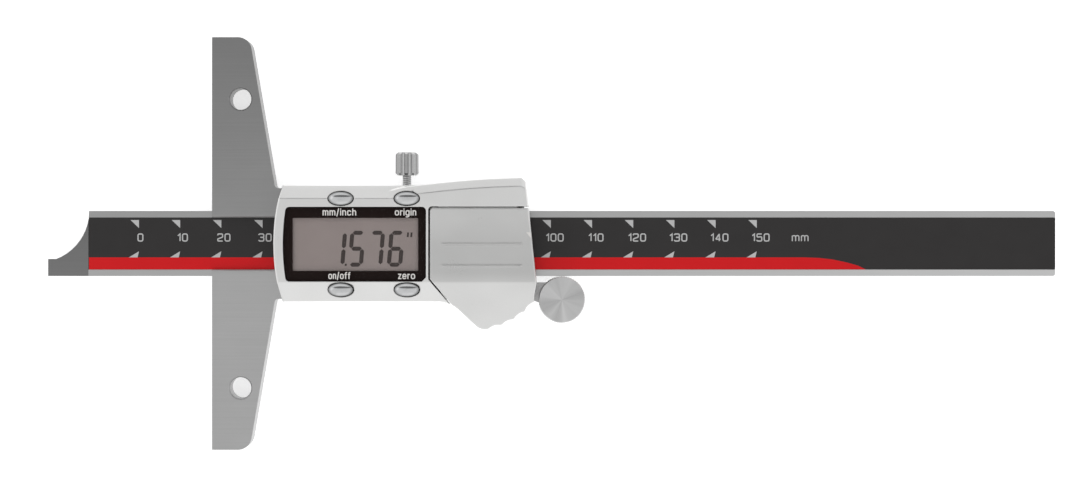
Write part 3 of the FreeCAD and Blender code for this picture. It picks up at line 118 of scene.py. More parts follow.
@dataclass(frozen=True)
class Finish:
    """A surface finish, which makes its material once; the subclasses build its shader."""

    name: str

    def shader(self, tree: Tree) -> Socket:
        """Builds the nodes of the finish and returns its shader socket."""
        raise NotImplementedError

    def material(self) -> bpy.types.Material:
        """Returns the material of this finish, made at the first call."""
        known = bpy.data.materials.get(self.name)
        if known:
            return known
        made = bpy.data.materials.new(self.name)
        made.use_nodes = True
        tree = made.node_tree
        tree.nodes.clear()
        output = add_node(tree, "OutputMaterial")
        tree.links.new(self.shader(tree), output.inputs["Surface"])
        return made

    def grain(self, tree: Tree, size_mm: Sequence[float], detail: float = 2.0, contrast: float = 1.0) -> Socket:
        """Builds noise whose grains have a real size along each axis.

        Args:
            tree: node tree that takes the nodes.
            size_mm: size of a grain along X, Y and Z.
            detail: octaves of finer noise.
            contrast: how far the noise is spread about its middle.

        Returns:
            A value socket from about 0 to 1.
        """
        place = add_node(tree, "TexCoord").outputs["Object"]
        scaled = add_node(tree, "Mapping", None,
                          {"Vector": place, "Scale": [1 / (size * MM) for size in size_mm]})
        noise = add_node(tree, "TexNoise", None,
                         {"Vector": scaled.outputs["Vector"], "Scale": 1.0, "Detail": detail})
        reach = 0.3 / contrast
        spread = add_node(tree, "MapRange", None,
                          {"Value": noise.outputs["Fac"], "From Min": 0.5 - reach, "From Max": 0.5 + reach})
        return spread.outputs["Result"]

    def hue(self, tree: Tree, share: Socket, shades: tuple[str, str], tones: Sequence[Tone] = ()) -> Socket:
        """Builds the colour of a surface.

        Args:
            tree: node tree that takes the nodes.
            share: socket from 0 to 1 that goes from the first shade to the second.
            shades: two hex colours.
            tones: changes of tone along an axis.

        Returns:
            The colour socket.
        """
        first, second = shades
        mix = add_node(tree, "Mix", {"data_type": "RGBA"}, {0: share, 6: linear(first), 7: linear(second)})
        for tone in tones:
            place = add_node(tree, "TexCoord").outputs["Object"]
            split = add_node(tree, "SeparateXYZ", None, {"Vector": place})
            grown = add_node(tree, "MapRange", None,
                             {"Value": split.outputs[tone.axis.value], "From Min": tone.start_mm * MM,
                              "From Max": tone.end_mm * MM})
            mix = add_node(tree, "Mix", {"data_type": "RGBA", "blend_type": "MULTIPLY"},
                           {0: grown.outputs["Result"], 6: mix.outputs[2], 7: linear(tone.colour)})
        return mix.outputs[2]

    def relief(self, tree: Tree, height: Socket, depth_mm: float, edge_mm: float = 0.0) -> Socket:
        """Turns a height from 0..1 to a bumped normal.

        Args:
            tree: node tree that takes the nodes.
            height: value socket of the height.
            depth_mm: real depth that the height stands for.
            edge_mm: radius over which sharp edges are softened for the light.

        Returns:
            The normal socket.
        """
        inputs = {"Height": height, "Distance": depth_mm * MM}
        if edge_mm:
            edges = add_node(tree, "Bevel", {"samples": 6}, {"Radius": edge_mm * MM})
            inputs["Normal"] = edges.outputs["Normal"]
        return add_node(tree, "Bump", None, inputs).outputs["Normal"]

    def paint_gap_shade(self, tree: Tree, colour: Socket, reach_mm: float, gap_shade_colour: str) -> Socket:
        """Paints shade into a colour in grooves and gaps narrower than a real reach and returns the socket."""
        opening = add_node(tree, "AmbientOcclusion", {"samples": 6}, {"Distance": reach_mm * MM})
        share = add_node(tree, "MapRange", None,
                         {"Value": opening.outputs["AO"], "From Min": OPENING[0], "From Max": OPENING[1]})
        mix = add_node(tree, "Mix", {"data_type": "RGBA"},
                       {0: share.outputs["Result"], 6: linear(gap_shade_colour), 7: colour})
        return mix.outputs[2]

    def opaque(self, tree: Tree, colour: Socket, sheen: Socket, rough: Point, normal: Socket,
               more: dict) -> Socket:
        """Builds the surface of an opaque finish.

        Args:
            tree: node tree that takes the nodes.
            colour: colour socket.
            sheen: socket from 0 to 1 that changes the roughness.
            rough: roughness at a sheen of 0 and of 1.
            normal: normal socket.
            more: further inputs by name.

        Returns:
            The shader socket.
        """
        spread = add_node(tree, "MapRange", None, {"Value": sheen, "To Min": rough[0], "To Max": rough[1]})
        inputs = {"Base Color": colour, "Roughness": spread.outputs["Result"], "Normal": normal, **more}
        return add_node(tree, "BsdfPrincipled", None, inputs).outputs["BSDF"]


@dataclass(frozen=True)
class GroundSteel(Finish):
    """Hardened stainless steel, surface ground: fine straight lines and a soft long reflection."""

    dark: str
    light: str
    line_mm: Sequence[float] = (26.0, 0.3, 0.3)  # real lines are 0.05 mm apart, drawn coarser to show
    rough: Point = (0.29, 0.39)
    tones: Sequence[Tone] = ()
    cloud_mm: Sequence[float] = (9.0, 7.0, 7.0)
    cloud_share: float = 0.4
    depth_mm: float = 0.003
    edge_mm: float = 0.15

    def shader(self, tree: Tree) -> Socket:
        """Builds ground lines, a cloudy polish, softened edges and the tones."""
        lines = self.grain(tree, self.line_mm, 3.0, 1.2)
        clouds = self.grain(tree, self.cloud_mm, 1.0)
        both = add_node(tree, "Mix", {"data_type": "FLOAT"},
                        {0: self.cloud_share, 2: lines, 3: clouds}).outputs[0]
        colour = self.hue(tree, both, (self.dark, self.light), self.tones)
        normal = self.relief(tree, lines, self.depth_mm, self.edge_mm)
        return self.opaque(tree, colour, both, self.rough, normal, {"Metallic": 1.0})


@dataclass(frozen=True)
class SatinPlate(Finish):
    """Satin chrome on a zinc die casting: pale, even and soft, with a trace of the blasted grain."""

    dark: str = "#dcdcdb"
    light: str = "#e8e8e7"
    # colour and reach of the shade painted into gaps and grooves
    gap_shade_colour: str = "#6e6e6c"
    gap_shade_mm: float = 0.5
    rough: Point = (0.26, 0.34)
    grain_mm: float = 0.25  # blasting grit leaves pits of about 0.1 mm, drawn coarser to show
    pit_share: float = 0.35
    sheen_mm: Sequence[float] = (11.0, 8.0, 8.0)
    depth_mm: float = 0.003
    edge_mm: float = 0.3
    tones: Sequence[Tone] = ()

    def shader(self, tree: Tree) -> Socket:
        """Builds the blasted grain, slow changes of sheen, the tones and the shade painted into gaps."""
        pits = self.grain(tree, (self.grain_mm,) * 3, 2.0)
        sheen = self.grain(tree, self.sheen_mm, 1.0)
        shade = add_node(tree, "Mix", {"data_type": "FLOAT"},
                         {0: self.pit_share, 2: sheen, 3: pits}).outputs[0]
        colour = self.hue(tree, shade, (self.dark, self.light), self.tones)
        colour = self.paint_gap_shade(tree, colour, self.gap_shade_mm, self.gap_shade_colour)
        normal = self.relief(tree, pits, self.depth_mm, self.edge_mm)
        return self.opaque(tree, colour, shade, self.rough, normal, {"Metallic": 1.0})


@dataclass(frozen=True)
class PolishedChrome(Finish):
    """Bright chrome on brass or plastic: a clear mirror with hairline scratches from fingers."""

    dark: str = "#c6c7c8"
    light: str = "#d4d5d6"
    rough: Point = (0.06, 0.13)
    scratch_mm: Sequence[float] = (2.5, 0.08, 0.5)
    smear_mm: Sequence[float] = (1.6, 1.2, 1.2)
    depth_mm: float = 0.0006
    edge_mm: float = 0.12
    tones: Sequence[Tone] = ()

    def shader(self, tree: Tree) -> Socket:
        """Builds the mirror with hairline scratches, dull smears and the tones."""
        hair = self.grain(tree, self.scratch_mm, 1.0, 2.0)
        smear = self.grain(tree, self.smear_mm, 2.0)
        colour = self.hue(tree, smear, (self.dark, self.light), self.tones)
        normal = self.relief(tree, hair, self.depth_mm, self.edge_mm)
        return self.opaque(tree, colour, smear, self.rough, normal, {"Metallic": 1.0})


@dataclass(frozen=True)
class TurnedSteel(Finish):
    """Stainless steel turned on a lathe: rings about the axis, so the light opens in a fan, with light and dark
    wedges painted into the colour as a painted reflection of it.
    """

    dark: str
    light: str
    centre_mm: Sequence[float]
    axis: Axis = Axis.Z
    rough: Point = (0.26, 0.34)
    anisotropy: float = 0.85
    # share of the painted reflection: light and dark wedges by the way out from the centre
    fan: float = 0.0
    wedge: Point = (0.36, 0.62)
    # reach and colour of the shade painted into grooves
    groove_mm: float = 0.0
    gap_shade_colour: str = "#2c2c2c"
    ring_mm: float = 0.22  # a fine feed leaves rings of 0.08 mm, drawn coarser to show
    cloud_mm: Sequence[float] = (2.0, 2.0, 2.0)
    cloud_share: float = 0.15
    depth_mm: float = 0.001

    def painted_sunray(self, tree: Tree, moved: Socket) -> Socket:
        """Builds the painted reflection of a turned face: light and dark wedges that depend only on the way out
        from the centre.
        """
        across = [0.0 if axis is self.axis else 1.0 for axis in Axis]
        flat = add_node(tree, "VectorMath", {"operation": "MULTIPLY"}, {0: moved, 1: across})
        way = add_node(tree, "VectorMath", {"operation": "NORMALIZE"}, {0: flat.outputs["Vector"]})
        noise = add_node(tree, "TexNoise", None,
                         {"Vector": way.outputs["Vector"], "Scale": 1.0, "Detail": 2.0})
        wedges = add_node(tree, "MapRange", None,
                          {"Value": noise.outputs["Fac"], "From Min": self.wedge[0], "From Max": self.wedge[1]})
        return wedges.outputs["Result"]

    def shader(self, tree: Tree) -> Socket:
        """Builds rings about the axis, the painted reflection of the fan of light and the shade painted into
        grooves.
        """
        place = add_node(tree, "TexCoord").outputs["Object"]
        moved = add_node(tree, "Mapping", None,
                         {"Vector": place, "Location": [-v * MM for v in self.centre_mm]})
        rings = add_node(tree, "TexWave",
                         {"wave_type": "RINGS", "rings_direction": self.axis.name},
                         {"Vector": moved.outputs["Vector"], "Scale": 1 / (math.pi * self.ring_mm * MM),
                          "Distortion": 0.6, "Detail": 1.0, "Detail Scale": 0.4})
        layers = [(self.cloud_share, self.grain(tree, self.cloud_mm, 1.0))]
        if self.fan:
            layers.append((self.fan, self.painted_sunray(tree, moved.outputs["Vector"])))
        both = rings.outputs["Fac"]
        for share, layer in layers:
            both = add_node(tree, "Mix", {"data_type": "FLOAT"}, {0: share, 2: both, 3: layer}).outputs[0]
        colour = self.hue(tree, both, (self.dark, self.light))
        if self.groove_mm:
            colour = self.paint_gap_shade(tree, colour, self.groove_mm, self.gap_shade_colour)
        tangent = add_node(tree, "Tangent", {"direction_type": "RADIAL", "axis": self.axis.name})
        normal = self.relief(tree, rings.outputs["Fac"], self.depth_mm)
        return self.opaque(tree, colour, both, self.rough, normal,
                           {"Metallic": 1.0, "Anisotropic": self.anisotropy,
                            "Tangent": tangent.outputs["Tangent"]})


@dataclass(frozen=True)
class PlainMetal(Finish):
    """Rolled or pressed metal, such as brass strip or zinc-plated screws: dull with faint stains."""

    dark: str
    light: str
    rough: Point
    stain_mm: Sequence[float] = (1.2, 1.2, 1.2)
    depth_mm: float = 0.003

    def shader(self, tree: Tree) -> Socket:
        """Builds the stains and the dull sheen."""
        stain = self.grain(tree, self.stain_mm, 3.0)
        colour = self.hue(tree, stain, (self.dark, self.light))
        normal = self.relief(tree, stain, self.depth_mm)
        return self.opaque(tree, colour, stain, self.rough, normal, {"Metallic": 1.0})


@dataclass(frozen=True)
class Coating(Finish):
    """Print, lacquer, moulded plastic or rubber: one hue with a fine tooth and slow changes."""

    dark: str
    light: str
    rough: Point
    tooth_mm: float = 0.2  # the tooth of a printed film is under 0.1 mm, drawn coarser to show
    depth_mm: float = 0.002
    ior: float = 1.46
    slow_mm: Sequence[float] = (6.0, 5.0, 5.0)

    def shader(self, tree: Tree) -> Socket:
        """Builds the tooth, the slow changes of hue and the sheen."""
        tooth = self.grain(tree, (self.tooth_mm,) * 3, 2.0)
        slow = self.grain(tree, self.slow_mm, 1.0)
        both = add_node(tree, "Mix", {"data_type": "FLOAT"}, {0: 0.5, 2: tooth, 3: slow}).outputs[0]
        colour = self.hue(tree, both, (self.dark, self.light))
        normal = self.relief(tree, tooth, self.depth_mm)
        return self.opaque(tree, colour, both, self.rough, normal, {"IOR": self.ior})


@dataclass(frozen=True)
class ClearAcrylic(Finish):
    """Cast acrylic, polished: clear, with only its surface reflection and a faint haze."""

    colour: str = "#151313"
    ior: float = 1.49
    rough: Point = (0.02, 0.07)
    haze: float = 0.025
    glare: float = 0.8
    smear_mm: Sequence[float] = (5.0, 3.0, 3.0)

    def shader(self, tree: Tree) -> Socket:
        """Builds a see-through surface that reflects more at a slant."""
        smear = self.grain(tree, self.smear_mm, 2.0)
        polish = add_node(tree, "MapRange", None,
                          {"Value": smear, "To Min": self.rough[0], "To Max": self.rough[1]})
        gloss = add_node(tree, "BsdfPrincipled", None,
                         {"Base Color": linear(self.colour), "IOR": self.ior,
                          "Roughness": polish.outputs["Result"]})
        clear = add_node(tree, "BsdfTransparent")
        slant = add_node(tree, "LayerWeight", None, {"Blend": 0.5}).outputs["Facing"]
        steep = add_node(tree, "Math", {"operation": "POWER"}, {0: slant, 1: 5.0})
        share = add_node(tree, "Math", {"operation": "MULTIPLY_ADD"},
                         {0: steep.outputs[0], 1: self.glare, 2: self.haze})
        mix = add_node(tree, "MixShader", None,
                       {0: share.outputs[0], 1: clear.outputs[0], 2: gloss.outputs["BSDF"]})
        return mix.outputs[0]


@dataclass(frozen=True)
class PaperSweep(Finish):
    """White background paper under the gauge: matt, with a trace of its fibres."""

    dark: str = "#f4f4f4"
    light: str = "#f8f8f8"
    fibre_mm: Sequence[float] = (1.5, 0.4, 1.0)
    lift: float = 0.62

    def shader(self, tree: Tree) -> Socket:
        """Builds the paper, lifted for what looks at it so that it reads as white."""
        fibre = self.grain(tree, self.fibre_mm, 2.0)
        paper = add_node(tree, "BsdfPrincipled", None,
                         {"Base Color": self.hue(tree, fibre, (self.dark, self.light)), "Roughness": 0.9,
                          "IOR": 1.3})
        path = add_node(tree, "LightPath").outputs
        seen = path["Is Camera Ray"]
        for ray in ("Is Glossy Ray", "Is Transmission Ray"):
            seen = add_node(tree, "Math", {"operation": "MAXIMUM"}, {0: seen, 1: path[ray]}).outputs[0]
        lifted = add_node(tree, "Math", {"operation": "MULTIPLY"}, {0: seen, 1: self.lift})
        glow = add_node(tree, "Emission", None, {"Color": linear("#ffffff"), "Strength": lifted.outputs[0]})
        both = add_node(tree, "AddShader", None, {0: paper.outputs["BSDF"], 1: glow.outputs[0]})
        return both.outputs[0]


# The upper arm is painted darker than the lower one, and darker still outwards, as painted shade
ARM_STEEL = GroundSteel("ground_stainless_steel", "#b0b0b0", "#bababa", (26.0, 0.3, 0.3), (0.31, 0.41), (
    Tone(Axis.Y, -8.0, 8.0, "#dadada"), Tone(Axis.Y, 10.0, 48.0, "#e4e4e4")))
# The tip past the film is darker; the margins grow lighter towards the far end as a painted reflection, and the
# upper half is painted darker as painted shade
BEAM_STEEL = GroundSteel("beam_stainless_steel", "#cccccc", "#d6d6d6", (22.0, 0.25, 0.25), (0.27, 0.37), (
    Tone(Axis.X, -30.1, -30.3, "#b4b4b4"), Tone(Axis.X, 180.0, 0.0, "#e0e0e0"),
    Tone(Axis.Y, -7.0, 7.0, "#ececec")))
SATIN_CHROME = SatinPlate("satin_chrome_plate")
# The cover is painted darker above its lower slope and darker still below its middle, as painted shade
COVER_CHROME = SatinPlate("satin_chrome_cover", edge_mm=0.5, tones=(
    Tone(Axis.Y, -9.8, -7.0, "#eeeeee"), Tone(Axis.Y, 6.0, 0.0, "#f4f4f4")))
# The buttons' flanks lie in the shade of their holes
BRIGHT_CHROME = PolishedChrome("polished_chrome_plate", tones=(Tone(Axis.Z, 12.15, 11.85, "#585858"),))
# The roller's face has light and dark wedges painted into its colour as a painted reflection
ROLLER_STEEL = TurnedSteel("turned_steel_roller", "#b4b4b4", "#dadada", (84.77, -13.65, 0.45), fan=0.8)
# The lock screw's flutes have shade painted into them
SCREW_HEAD_STEEL = TurnedSteel("turned_steel_lock_screw", "#a4a4a4", "#c2c2c2", (47.07, 0.0, 0.18), Axis.Y,
                               rough=(0.16, 0.24), anisotropy=0.5, groove_mm=0.8)
# The cell's ends have light and dark wedges painted into their colour as a painted reflection
CELL_STEEL = TurnedSteel("battery_steel", "#b4b4b2", "#cbcbc9", (64.275, -1.45, 7.0), anisotropy=0.4, fan=0.4)
BRACKET_STEEL = GroundSteel("pressed_steel", "#bcbcbc", "#cecece", (5.0, 0.3, 0.3), (0.27, 0.37))
PLATED_SCREW = PlainMetal("zinc_plated_screw", "#6e6e6c", "#8e8e8c", (0.29, 0.45))
BRASS = PlainMetal("rolled_brass", "#a8843f", "#c79f52", (0.27, 0.43))
PLATED_BRASS = PlainMetal("nickel_plated_brass", "#a2a29e", "#b8b8b4", (0.27, 0.43))
# Painted shade of a screw's cross recess
DARK_RECESS = PlainMetal("shaded_recess", "#242424", "#303030", (0.43, 0.59))
SCALE_FILM = Coating("scale_film", "#262424", "#2d2b2b", (0.34, 0.46), ior=1.38)
RED_INK = Coating("red_ink", "#d00c14", "#da1219", (0.36, 0.48), ior=1.3)
PALE_INK = Coating("pale_grey_ink", "#b9b9b9", "#c4c4c4", (0.44, 0.56))
LABEL_INK = Coating("white_ink", "#dedbd8", "#e8e5e2", (0.44, 0.56))
BLACK_PRINT = Coating("black_window_print", "#1c1312", "#221816", (0.24, 0.36), ior=1.15)
BOARD = Coating("solder_mask", "#123c22", "#1a4a2b", (0.24, 0.36))
DISPLAY_GLASS = Coating("display_glass", "#998d8a", "#a29693", (0.29, 0.41), 0.45, 0.0004)
DISPLAY_SEGMENT = Coating("display_segment", "#3a312f", "#423936", (0.34, 0.46), 0.45, 0.0004)
MOULDED_BLACK = Coating("moulded_abs", "#1c1c1c", "#262626", (0.39, 0.51), 0.3, 0.004)
RUBBER = Coating("nitrile_rubber", "#191919", "#232323", (0.64, 0.76), 0.3, 0.004)
WINDOW = ClearAcrylic("clear_acrylic")


def dress(nodes: Iterable[str], finish: Finish) -> None:
    """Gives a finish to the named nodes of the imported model."""
    for name in nodes:
        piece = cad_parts[name]
        piece.data.materials.clear()
        piece.data.materials.append(finish.material())
        log.info("dressed %s in %s", name, finish.name)


def add_object(name: str, data: bpy.types.ID) -> bpy.types.Object:
    """Makes an object of its data, puts it in the scene and returns it."""
    made = bpy.data.objects.new(name, data)
    bpy.context.scene.collection.objects.link(made)
    return made


def add_mesh(name: str, mesh: Mesh, finish: Finish) -> bpy.types.Object:
    """Makes an object from a finished mesh, which it frees, and returns it."""
    data = bpy.data.meshes.new(name)
    mesh.to_mesh(data)
    mesh.free()
    data.materials.append(finish.material())
    return add_object(name, data)


def add_piece(name: str, mesh: Mesh, finish: Finish, body: str) -> None:
    """Makes an object from a finished mesh and hangs it on a body.

    Args:
        name: name of the piece.
        mesh: its mesh, in metres in the row frame; it is freed.
        finish: its finish.
        body: the body that carries it.
    """
    bmesh.ops.recalc_face_normals(mesh, faces=mesh.faces)
    piece = add_mesh(name, mesh, finish)
    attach(piece, body)
    log.info("built %s on %s: %d faces", name, body, len(piece.data.polygons))


def rectangle(left: float, low: float, right: float, high: float) -> list[Point]:
    """Returns the corners of a rectangle, with the first one again at the end."""
    return [(left, low), (right, low), (right, high), (left, high), (left, low)]


def rounded(path: Sequence[Point], radius: float, closed: bool, steps: int = 5) -> list[Point]:
    """Rounds the corners of a flat path.

    Args:
        path: its points.
        radius: the arcs' radius, made smaller where a run is too short for it.
        closed: whether the last point joins the first.
        steps: pieces of each arc.

    Returns:
        The points of the rounded path.
    """
    out: list[Point] = []
    count = len(path)
    for i, here in enumerate(path):
        if not closed and i in (0, count - 1):
            out.append(here)
            continue
        corner = Vector(here)
        back = Vector(path[i - 1]) - corner
        ahead = Vector(path[(i + 1) % count]) - corner
        angle = back.angle(ahead)
        reach = radius / math.tan(angle / 2) if angle < math.pi - 0.01 else 0
        ends = [closed or i > 1, closed or i < count - 2]
        room = min(side.length * (0.5 if shared else 1) for side, shared in zip((back, ahead), ends))
        reach = min(reach, room * 0.999)
        if reach < TINY:
            out.append(here)
            continue
        start = corner + back.normalized() * reach
        end = corner + ahead.normalized() * reach
        for k in range(steps + 1):
            t = k / steps
            spot = start * (1 - t) ** 2 + corner * 2 * t * (1 - t) + end * t ** 2
            out.append((spot.x, spot.y))
    return out


def offset_sides(path: Sequence[Point], width: float, closed: bool) -> tuple[list[Point], list[Point]]:
    """Finds the two sides of a stroke.

    Args:
        path: the stroke's centre line.
        width: its width.
        closed: whether it is a loop.

    Returns:
        The points on its left and on its right.
    """
    left, right = [], []
    count = len(path)
    for i, here in enumerate(path):
        spot = Vector(here)
        runs = []
        if closed or i:
            runs.append(spot - Vector(path[i - 1]))
        if closed or i < count - 1:
            runs.append(Vector(path[(i + 1) % count]) - spot)
        ways = [run.normalized() for run in runs if run.length > TINY]
        way = sum(ways, Vector((0, 0))).normalized()
        side = Vector((-way.y, way.x))
        reach = width / 2 / max(MITRE_LIMIT, side.dot(Vector((-ways[0].y, ways[0].x))))
        left.append(tuple(spot + side * reach))
        right.append(tuple(spot - side * reach))
    return left, right


def add_prism(mesh: Mesh, outline: Sequence[Point], levels: Point) -> None:
    """Adds a solid of a flat outline between two levels.

    Args:
        mesh: mesh that takes it.
        outline: its points, in metres.
        levels: its lower and upper level.
    """
    rings = [[mesh.verts.new((x, y, z)) for x, y in outline] for z in levels]
    mesh.faces.new(reversed(rings[0]))
    mesh.faces.new(rings[1])
    count = len(outline)
    for i in range(count):
        j = (i + 1) % count
        mesh.faces.new((rings[0][i], rings[0][j], rings[1][j], rings[1][i]))


def join_rings(mesh: Mesh, rings: Sequence[Sequence[bmesh.types.BMVert]], closed: bool) -> None:
    """Joins rings of four vertices to a solid, with ends where the last doesn't join the first."""
    for first, second in zip(rings, rings[1:] + rings[:1] if closed else rings[1:]):
        for k in range(4):
            mesh.faces.new((first[k], first[(k + 1) % 4], second[(k + 1) % 4], second[k]))
    if not closed:
        mesh.faces.new(rings[0])
        mesh.faces.new(reversed(rings[-1]))


def add_strip(mesh: Mesh, rows: Sequence[tuple[Point, Point]], levels: Point, closed: bool) -> None:
    """Adds a flat solid that is swept through rows of a left and a right point.

    Args:
        mesh: mesh that takes it.
        rows: its rows, in metres.
        levels: its lower and upper level.
        closed: whether the last row joins the first.
    """
    low, high = levels
    rings = []
    for left, right in rows:
        corners = ((left, low), (right, low), (right, high), (left, high))
        rings.append([mesh.verts.new((*spot, z)) for spot, z in corners])
    join_rings(mesh, rings, closed)


def cap_rows(centre: Point, left: Point, right: Point, cap: Cap) -> list[tuple[Point, Point]]:
    """Finds the rows that round off the end of a stroke.

    Args:
        centre: the end of its centre line.
        left: the end of its left side, as seen along the stroke.
        right: the end of its right side.
        cap: how it ends.

    Returns:
        The rows past the end.
    """
    side = (Vector(left) - Vector(right)) / 2
    ahead = Vector((side.y, -side.x))
    rows = []
    for k in range(1, cap.value):
        turn = math.pi / 2 * k / cap.value
        middle = Vector(centre) + ahead * math.sin(turn)
        rows.append((tuple(middle + side * math.cos(turn)), tuple(middle - side * math.cos(turn))))
    return rows


def add_stroke(mesh: Mesh, path: Sequence[Point], width: float, levels: Point, closed: bool,
               cap: Cap) -> None:
    """Adds one stroke of lettering as a thin solid.

    Args:
        mesh: mesh that takes it.
        path: its centre line, in metres.
        width: its width.
        levels: its lower and upper level.
        closed: whether it is a loop.
        cap: how it ends.
    """
    left, right = offset_sides(path, width, closed)
    rows = list(zip(left, right))
    if not closed:
        past_start = cap_rows(path[0], right[0], left[0], cap)
        past_end = cap_rows(path[-1], left[-1], right[-1], cap)
        rows = [(b, a) for a, b in reversed(past_start)] + rows + past_end
    add_strip(mesh, rows, levels, closed)


@dataclass(frozen=True)
class Glyph:
    """A character as centre lines in units of its height.

    Attributes:
        width: its width between centre lines.
        lines: its strokes; one that ends where it starts is a loop.
        bend: radius of its corners.
    """

    width: float
    lines: Sequence[Sequence[Point]]
    bend: float = 0.26


W = 0.68  # width of a numeral between its centre lines
N = 0.72  # the same for the letters n and h
NUMERALS = {
    "0": Glyph(W, [rectangle(0, 0, W, 1)]),
    "1": Glyph(0.3, [[(0, 0.74), (0.3, 1), (0.3, 0)]], 0.0),
    "2": Glyph(W, [[(0, 0.8), (0, 1), (W, 1), (W, 0.55), (0, 0.3), (0, 0), (W, 0)]], 0.16),
    "3": Glyph(W, [[(0, 0.84), (0, 1), (W, 1), (W, 0.52), (0.2, 0.52)],
                   [(W - 0.12, 0.52), (W, 0.5), (W, 0), (0, 0), (0, 0.16)]], 0.2),
    "4": Glyph(W, [[(0.5, 0), (0.5, 1)], [(0.5, 1), (0, 0.26)], [(0, 0.26), (W, 0.26)]], 0.0),
    "5": Glyph(W, [[(W, 1), (0.03, 1), (0, 0.54), (W, 0.62), (W, 0), (0, 0), (0, 0.16)]], 0.18),
    "6": Glyph(W, [rectangle(0, 0, W, 0.58), [(W, 0.84), (W, 1), (0, 1), (0, 0.29)]], 0.2),
    "7": Glyph(W, [[(0, 1), (W, 1), (0.22, 0)]], 0.0),
    "8": Glyph(W, [rectangle(0, 0.52, W, 1), rectangle(0, 0, W, 0.52)], 0.18),
    "9": Glyph(W, [rectangle(0, 0.42, W, 1), [(0, 0.16), (0, 0), (W, 0), (W, 0.71)]], 0.2),
}
LETTERS = {
    "m": Glyph(1.2, [[(0, 0), (0, 1)], [(0, 0.6), (0, 1), (0.6, 1), (0.6, 0)],
                     [(0.6, 0.6), (0.6, 1), (1.2, 1), (1.2, 0)]], 0.3),
    "i": Glyph(0.0, [[(0, 0), (0, 1)], [(0, 1.36), (0, 1.4)]]),
    "n": Glyph(N, [[(0, 0), (0, 1)], [(0, 0.55), (0, 1), (N, 1), (N, 0)]], 0.38),
    "c": Glyph(0.74, [[(0.74, 0.82), (0.6, 1), (0, 1), (0, 0), (0.6, 0), (0.74, 0.18)]], 0.46),
    "h": Glyph(N, [[(0, 0), (0, 1.42)], [(0, 0.55), (0, 1), (N, 1), (N, 0)]], 0.38),
    "o": Glyph(0.88, [rectangle(0, 0, 0.88, 1)], 0.5),
    "r": Glyph(0.4, [[(0, 0), (0, 1)], [(0, 0.5), (0, 0.97), (0.42, 0.97)]], 0.3),
    "g": Glyph(0.84, [rectangle(0, 0, 0.84, 1), [(0.84, 1), (0.84, -0.42), (0.08, -0.42)]], 0.46),
    "f": Glyph(0.5, [[(0.2, 0), (0.2, 1.4), (0.52, 1.4)], [(0, 0.94), (0.46, 0.94)]], 0.24),
    "z": Glyph(0.66, [[(0, 1), (0.66, 1)], [(0.66, 1), (0, 0)], [(0, 0), (0.68, 0)]], 0.0),
    "e": Glyph(0.82, [[(0.82, 0.5), (0.82, 1), (0, 1), (0, 0), (0.6, 0), (0.76, 0.14)],
                      [(0, 0.5), (0.82, 0.5)]], 0.42),
    "/": Glyph(0.42, [[(0, -0.2), (0.42, 1.45)]]),
}


@dataclass(frozen=True)
class Lettering:
    """Printed characters of one style.

    Attributes:
        glyphs: its characters.
        height: height of a numeral, or of a small letter without its stems.
        stroke: width of its lines.
        gap: clear space between characters.
        thickness: height of the print over what carries it.
        cap: how its strokes end.
        squeeze: width of the characters as a share of their drawn width.
    """

    glyphs: dict[str, Glyph]
    height: float
    stroke: float
    gap: float
    thickness: float
    cap: Cap
    squeeze: float = 1.0

    def length(self, text: str) -> float:
        """Returns the printed length of a text in metres."""
        return sum(self.step(c) for c in text) - self.gap

    def scale(self) -> float:
        """Returns the metres in one unit of the glyphs' centre lines."""
        return self.height - self.stroke

    def step(self, character: str) -> float:
        """Returns the distance from a character's left edge to the next one's."""
        return self.glyphs[character].width * self.squeeze * self.scale() + self.stroke + self.gap

    def write(self, mesh: Mesh, text: str, left: float, base: float, level: float) -> None:
        """Adds a text to a mesh.

        Args:
            mesh: mesh that takes it.
            text: its characters.
            left: X of its left edge.
            base: Y of its lower edge.
            level: Z of the surface that carries it.
        """
        cursor = left + self.stroke / 2
        foot = base + self.stroke / 2
        tall = self.scale()
        wide = tall * self.squeeze
        for character in text:
            glyph = self.glyphs[character]
            for number, line in enumerate(glyph.lines):
                closed = len(line) > 2 and line[0] == line[-1]
                points = line[:-1] if closed else line
                placed = [(cursor + x * wide, foot + y * tall) for x, y in points]
                path = rounded(placed, glyph.bend * tall, closed) if glyph.bend else placed
                top = level + self.thickness * (1 + 0.2 * number)  # no two strokes share a face
                add_stroke(mesh, path, self.stroke, (level, top), closed, self.cap)
            cursor += self.step(character)


@dataclass
class BaseFrame:
    """The T-shaped ground steel base with the slotted frame that guides the beam."""

    def build(self) -> None:
        """Dresses the base, its gib and their screws."""
        dress(["base_frame"], ARM_STEEL)
        dress(["gib_strip"], BRASS)
        dress(["gib_screws"], PLATED_SCREW)


